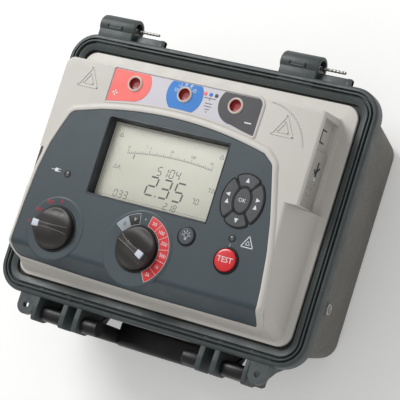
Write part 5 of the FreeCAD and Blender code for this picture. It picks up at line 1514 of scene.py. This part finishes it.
def build_inside():
    """Finishes of the parts under the panel: boards, battery, modules, switches and screws."""
    dark = moulded_black()
    board = finish("Board green", paint(28, 92, 58), 0.38, 0.08, 700, 0.02, mottle=0.15, coat=0.3)
    brass = finish("Brass", paint(200, 164, 92), 0.3, 0.1, 1400, 0.02, metallic=1.0)
    alloy = finish("Alloy", paint(176, 178, 180), 0.4, 0.1, 1600, 0.03, metallic=1.0)
    potting = finish("Potting", paint(34, 36, 52), 0.35, 0.1, 500, 0.04, mottle=0.2)
    wrap = finish("Battery wrap", paint(40, 88, 140), 0.3, 0.08, 500, 0.02, mottle=0.15, coat=0.3)
    iron = finish("Laminated iron", paint(110, 106, 100), 0.5, 0.1, 1200, 0.05, metallic=0.8)
    copper = finish("Winding", paint(176, 96, 48), 0.35, 0.1, 1300, 0.08, metallic=0.7)
    by_slot = {"steel": bright_steel(), "brass": brass, "aluminium": alloy, "board_green": board,
               "potting": potting, "battery_wrap": wrap, "iron": iron, "winding": copper,
               "black_rubber": black_rubber()}
    for name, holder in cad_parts.items():
        held = [m for m in holder.data.materials if m]
        done = any(m.node_tree and "Group" in m.node_tree.nodes for m in held)
        if holder.hide_render or done:
            continue
        repaint(name, next((by_slot[key] for key in by_slot for m in held
                            if m.name.startswith(key)), dark))


# ---------------------------------------------------------------- stage


def build_stage():
    """A plain pale floor, soft studio lights and the camera."""
    scene = bpy.context.scene
    floor_shade = finish("Studio floor", paint(244, 244, 243), 0.75, 0.05, 60, 0.0, mottle=0.005)
    mesh = bpy.data.meshes.new("studio_floor")
    reach = 6.0
    mesh.from_pydata([(-reach, -reach, 0), (reach, -reach, 0), (reach, reach, 0),
                      (-reach, reach, 0)], [], [(0, 1, 2, 3)])
    glow = floor_shade.node_tree.nodes["Principled BSDF"]
    glow.inputs["Emission Color"].default_value = paint(250, 250, 250)
    glow.inputs["Emission Strength"].default_value = 0.22
    mesh.materials.append(floor_shade)
    floor = bpy.data.objects.new("studio_floor", mesh)
    scene.collection.objects.link(floor)

    world = bpy.data.worlds.new("Studio")
    world.use_nodes = True
    world.node_tree.nodes["Background"].inputs["Color"].default_value = paint(243, 243, 242)
    world.node_tree.nodes["Background"].inputs["Strength"].default_value = 0.5
    scene.world = world

    def softbox(name, place, size, power):
        """A soft white rectangular light, in metres and watts, facing the tester."""
        lamp = bpy.data.lights.new(name, "AREA")
        lamp.shape = "RECTANGLE"
        lamp.size, lamp.size_y = size
        lamp.energy = power
        holder = bpy.data.objects.new(name, lamp)
        holder.location = place
        line = Vector((0, 0, 0.1)) - Vector(place)
        holder.rotation_euler = line.to_track_quat("-Z", "Y").to_euler()
        scene.collection.objects.link(holder)

    softbox("key_light", (-1.2, 1.0, 1.6), (1.0, 1.0), 31.0)
    softbox("front_light", (0.5, -1.6, 1.0), (1.4, 0.8), 2.0)
    softbox("side_light", (1.8, 0.5, 0.9), (0.8, 1.2), 0.4)

    view = scene.tester_view
    a, e = view.azimuth, view.elevation
    back = Vector((math.sin(a) * math.cos(e), -math.cos(a) * math.cos(e), math.sin(e)))
    level = Vector((math.cos(a), math.sin(a), 0.0))
    turn = Matrix.Rotation(view.roll, 3, back)
    right = turn @ level
    up = back.cross(right)
    lens = bpy.data.cameras.new("camera")
    lens.lens = view.lens
    lens.sensor_width = 36.0
    lens.clip_end = 50.0
    camera = bpy.data.objects.new("camera", lens)
    basis = Matrix((right, up, back)).transposed().to_4x4()
    basis.translation = Vector(AIM) + back * view.distance
    camera.matrix_world = basis
    scene.collection.objects.link(camera)
    scene.camera = camera
    scene.view_settings.view_transform = "Standard"


# ---------------------------------------------------------------- add-on


class TESTER_OT_case(bpy.types.Operator):
    """Build the case shell with its ribs, ears and knuckles"""

    bl_idname = "tester.case"
    bl_label = "Build case"

    def execute(self, context):
        build_case()
        return {"FINISHED"}


class TESTER_OT_case_fittings(bpy.types.Operator):
    """Build the feet, the pressure valve and the hinge pins"""

    bl_idname = "tester.case_fittings"
    bl_label = "Build case fittings"

    def execute(self, context):
        build_case_fittings()
        return {"FINISHED"}


class TESTER_OT_latches(bpy.types.Operator):
    """Build both latches"""

    bl_idname = "tester.latches"
    bl_label = "Build latches"

    def execute(self, context):
        build_latches()
        return {"FINISHED"}


class TESTER_OT_handle(bpy.types.Operator):
    """Build the carry handle"""

    bl_idname = "tester.handle"
    bl_label = "Build handle"

    def execute(self, context):
        build_handle()
        return {"FINISHED"}


class TESTER_OT_panel(bpy.types.Operator):
    """Build the light instrument panel"""

    bl_idname = "tester.panel"
    bl_label = "Build panel"

    def execute(self, context):
        build_panel()
        return {"FINISHED"}


class TESTER_OT_fascia(bpy.types.Operator):
    """Build the dark fascia and its raised band"""

    bl_idname = "tester.fascia"
    bl_label = "Build fascia"

    def execute(self, context):
        build_fascia()
        return {"FINISHED"}


class TESTER_OT_display(bpy.types.Operator):
    """Build the display and its window"""

    bl_idname = "tester.display"
    bl_label = "Build display"

    def execute(self, context):
        build_display()
        return {"FINISHED"}


class TESTER_OT_terminals(bpy.types.Operator):
    """Build the terminal strip, its labels and its collars"""

    bl_idname = "tester.terminals"
    bl_label = "Build terminals"

    def execute(self, context):
        build_terminals()
        return {"FINISHED"}


class TESTER_OT_knobs(bpy.types.Operator):
    """Build both rotary knobs"""

    bl_idname = "tester.knobs"
    bl_label = "Build knobs"

    def execute(self, context):
        build_knobs()
        return {"FINISHED"}


class TESTER_OT_dials(bpy.types.Operator):
    """Build the printed scales and marks"""

    bl_idname = "tester.dials"
    bl_label = "Build dials"

    def execute(self, context):
        build_dials()
        return {"FINISHED"}


class TESTER_OT_keys(bpy.types.Operator):
    """Build the key pad"""

    bl_idname = "tester.keys"
    bl_label = "Build keys"

    def execute(self, context):
        build_keys()
        return {"FINISHED"}


class TESTER_OT_buttons(bpy.types.Operator):
    """Build the push buttons and lamps"""

    bl_idname = "tester.buttons"
    bl_label = "Build buttons"

    def execute(self, context):
        build_buttons()
        return {"FINISHED"}


class TESTER_OT_side(bpy.types.Operator):
    """Build the slider and finish the sockets"""

    bl_idname = "tester.side"
    bl_label = "Build side channel"

    def execute(self, context):
        build_side()
        return {"FINISHED"}


class TESTER_OT_inside(bpy.types.Operator):
    """Finish the parts under the panel"""

    bl_idname = "tester.inside"
    bl_label = "Finish inside"

    def execute(self, context):
        build_inside()
        return {"FINISHED"}


class TESTER_OT_stage(bpy.types.Operator):
    """Build the floor, the lights and the camera"""

    bl_idname = "tester.stage"
    bl_label = "Build stage"

    def execute(self, context):
        build_stage()
        return {"FINISHED"}


OPERATORS = [
    TESTER_OT_case, TESTER_OT_case_fittings, TESTER_OT_latches, TESTER_OT_handle,
    TESTER_OT_panel, TESTER_OT_fascia, TESTER_OT_display, TESTER_OT_terminals, TESTER_OT_knobs,
    TESTER_OT_dials, TESTER_OT_keys, TESTER_OT_buttons, TESTER_OT_side, TESTER_OT_inside,
    TESTER_OT_stage,
]


class TESTER_PT_panel(bpy.types.Panel):
    """Lists the building steps and their settings."""

    bl_label = "Insulation tester"
    bl_idname = "TESTER_PT_panel"
    bl_space_type = "VIEW_3D"
    bl_region_type = "UI"
    bl_category = "Tester"

    def draw(self, context):
        for item in OPERATORS:
            self.layout.operator(item.bl_idname)
        for group in (context.scene.tester_sizes, context.scene.tester_colours,
                      context.scene.tester_view):
            for name in group.bl_rna.properties.keys():
                if name not in ("rna_type", "name"):
                    self.layout.prop(group, name)


CLASSES = [TesterSizes, TesterColours, TesterView, *OPERATORS, TESTER_PT_panel]


def register():
    """Adds the classes and hangs the settings on the scene."""
    for item in CLASSES:
        bpy.utils.register_class(item)
    bpy.types.Scene.tester_sizes = PointerProperty(type=TesterSizes)
    bpy.types.Scene.tester_colours = PointerProperty(type=TesterColours)
    bpy.types.Scene.tester_view = PointerProperty(type=TesterView)


def unregister():
    """Takes the settings and classes away again."""
    del bpy.types.Scene.tester_view
    del bpy.types.Scene.tester_colours
    del bpy.types.Scene.tester_sizes
    for item in reversed(CLASSES):
        bpy.utils.unregister_class(item)


def main():
    """Builds everything in order."""
    register()
    for item in OPERATORS:
        getattr(bpy.ops.tester, item.bl_idname.split(".")[1])()


if __name__ == "__main__":
    main()
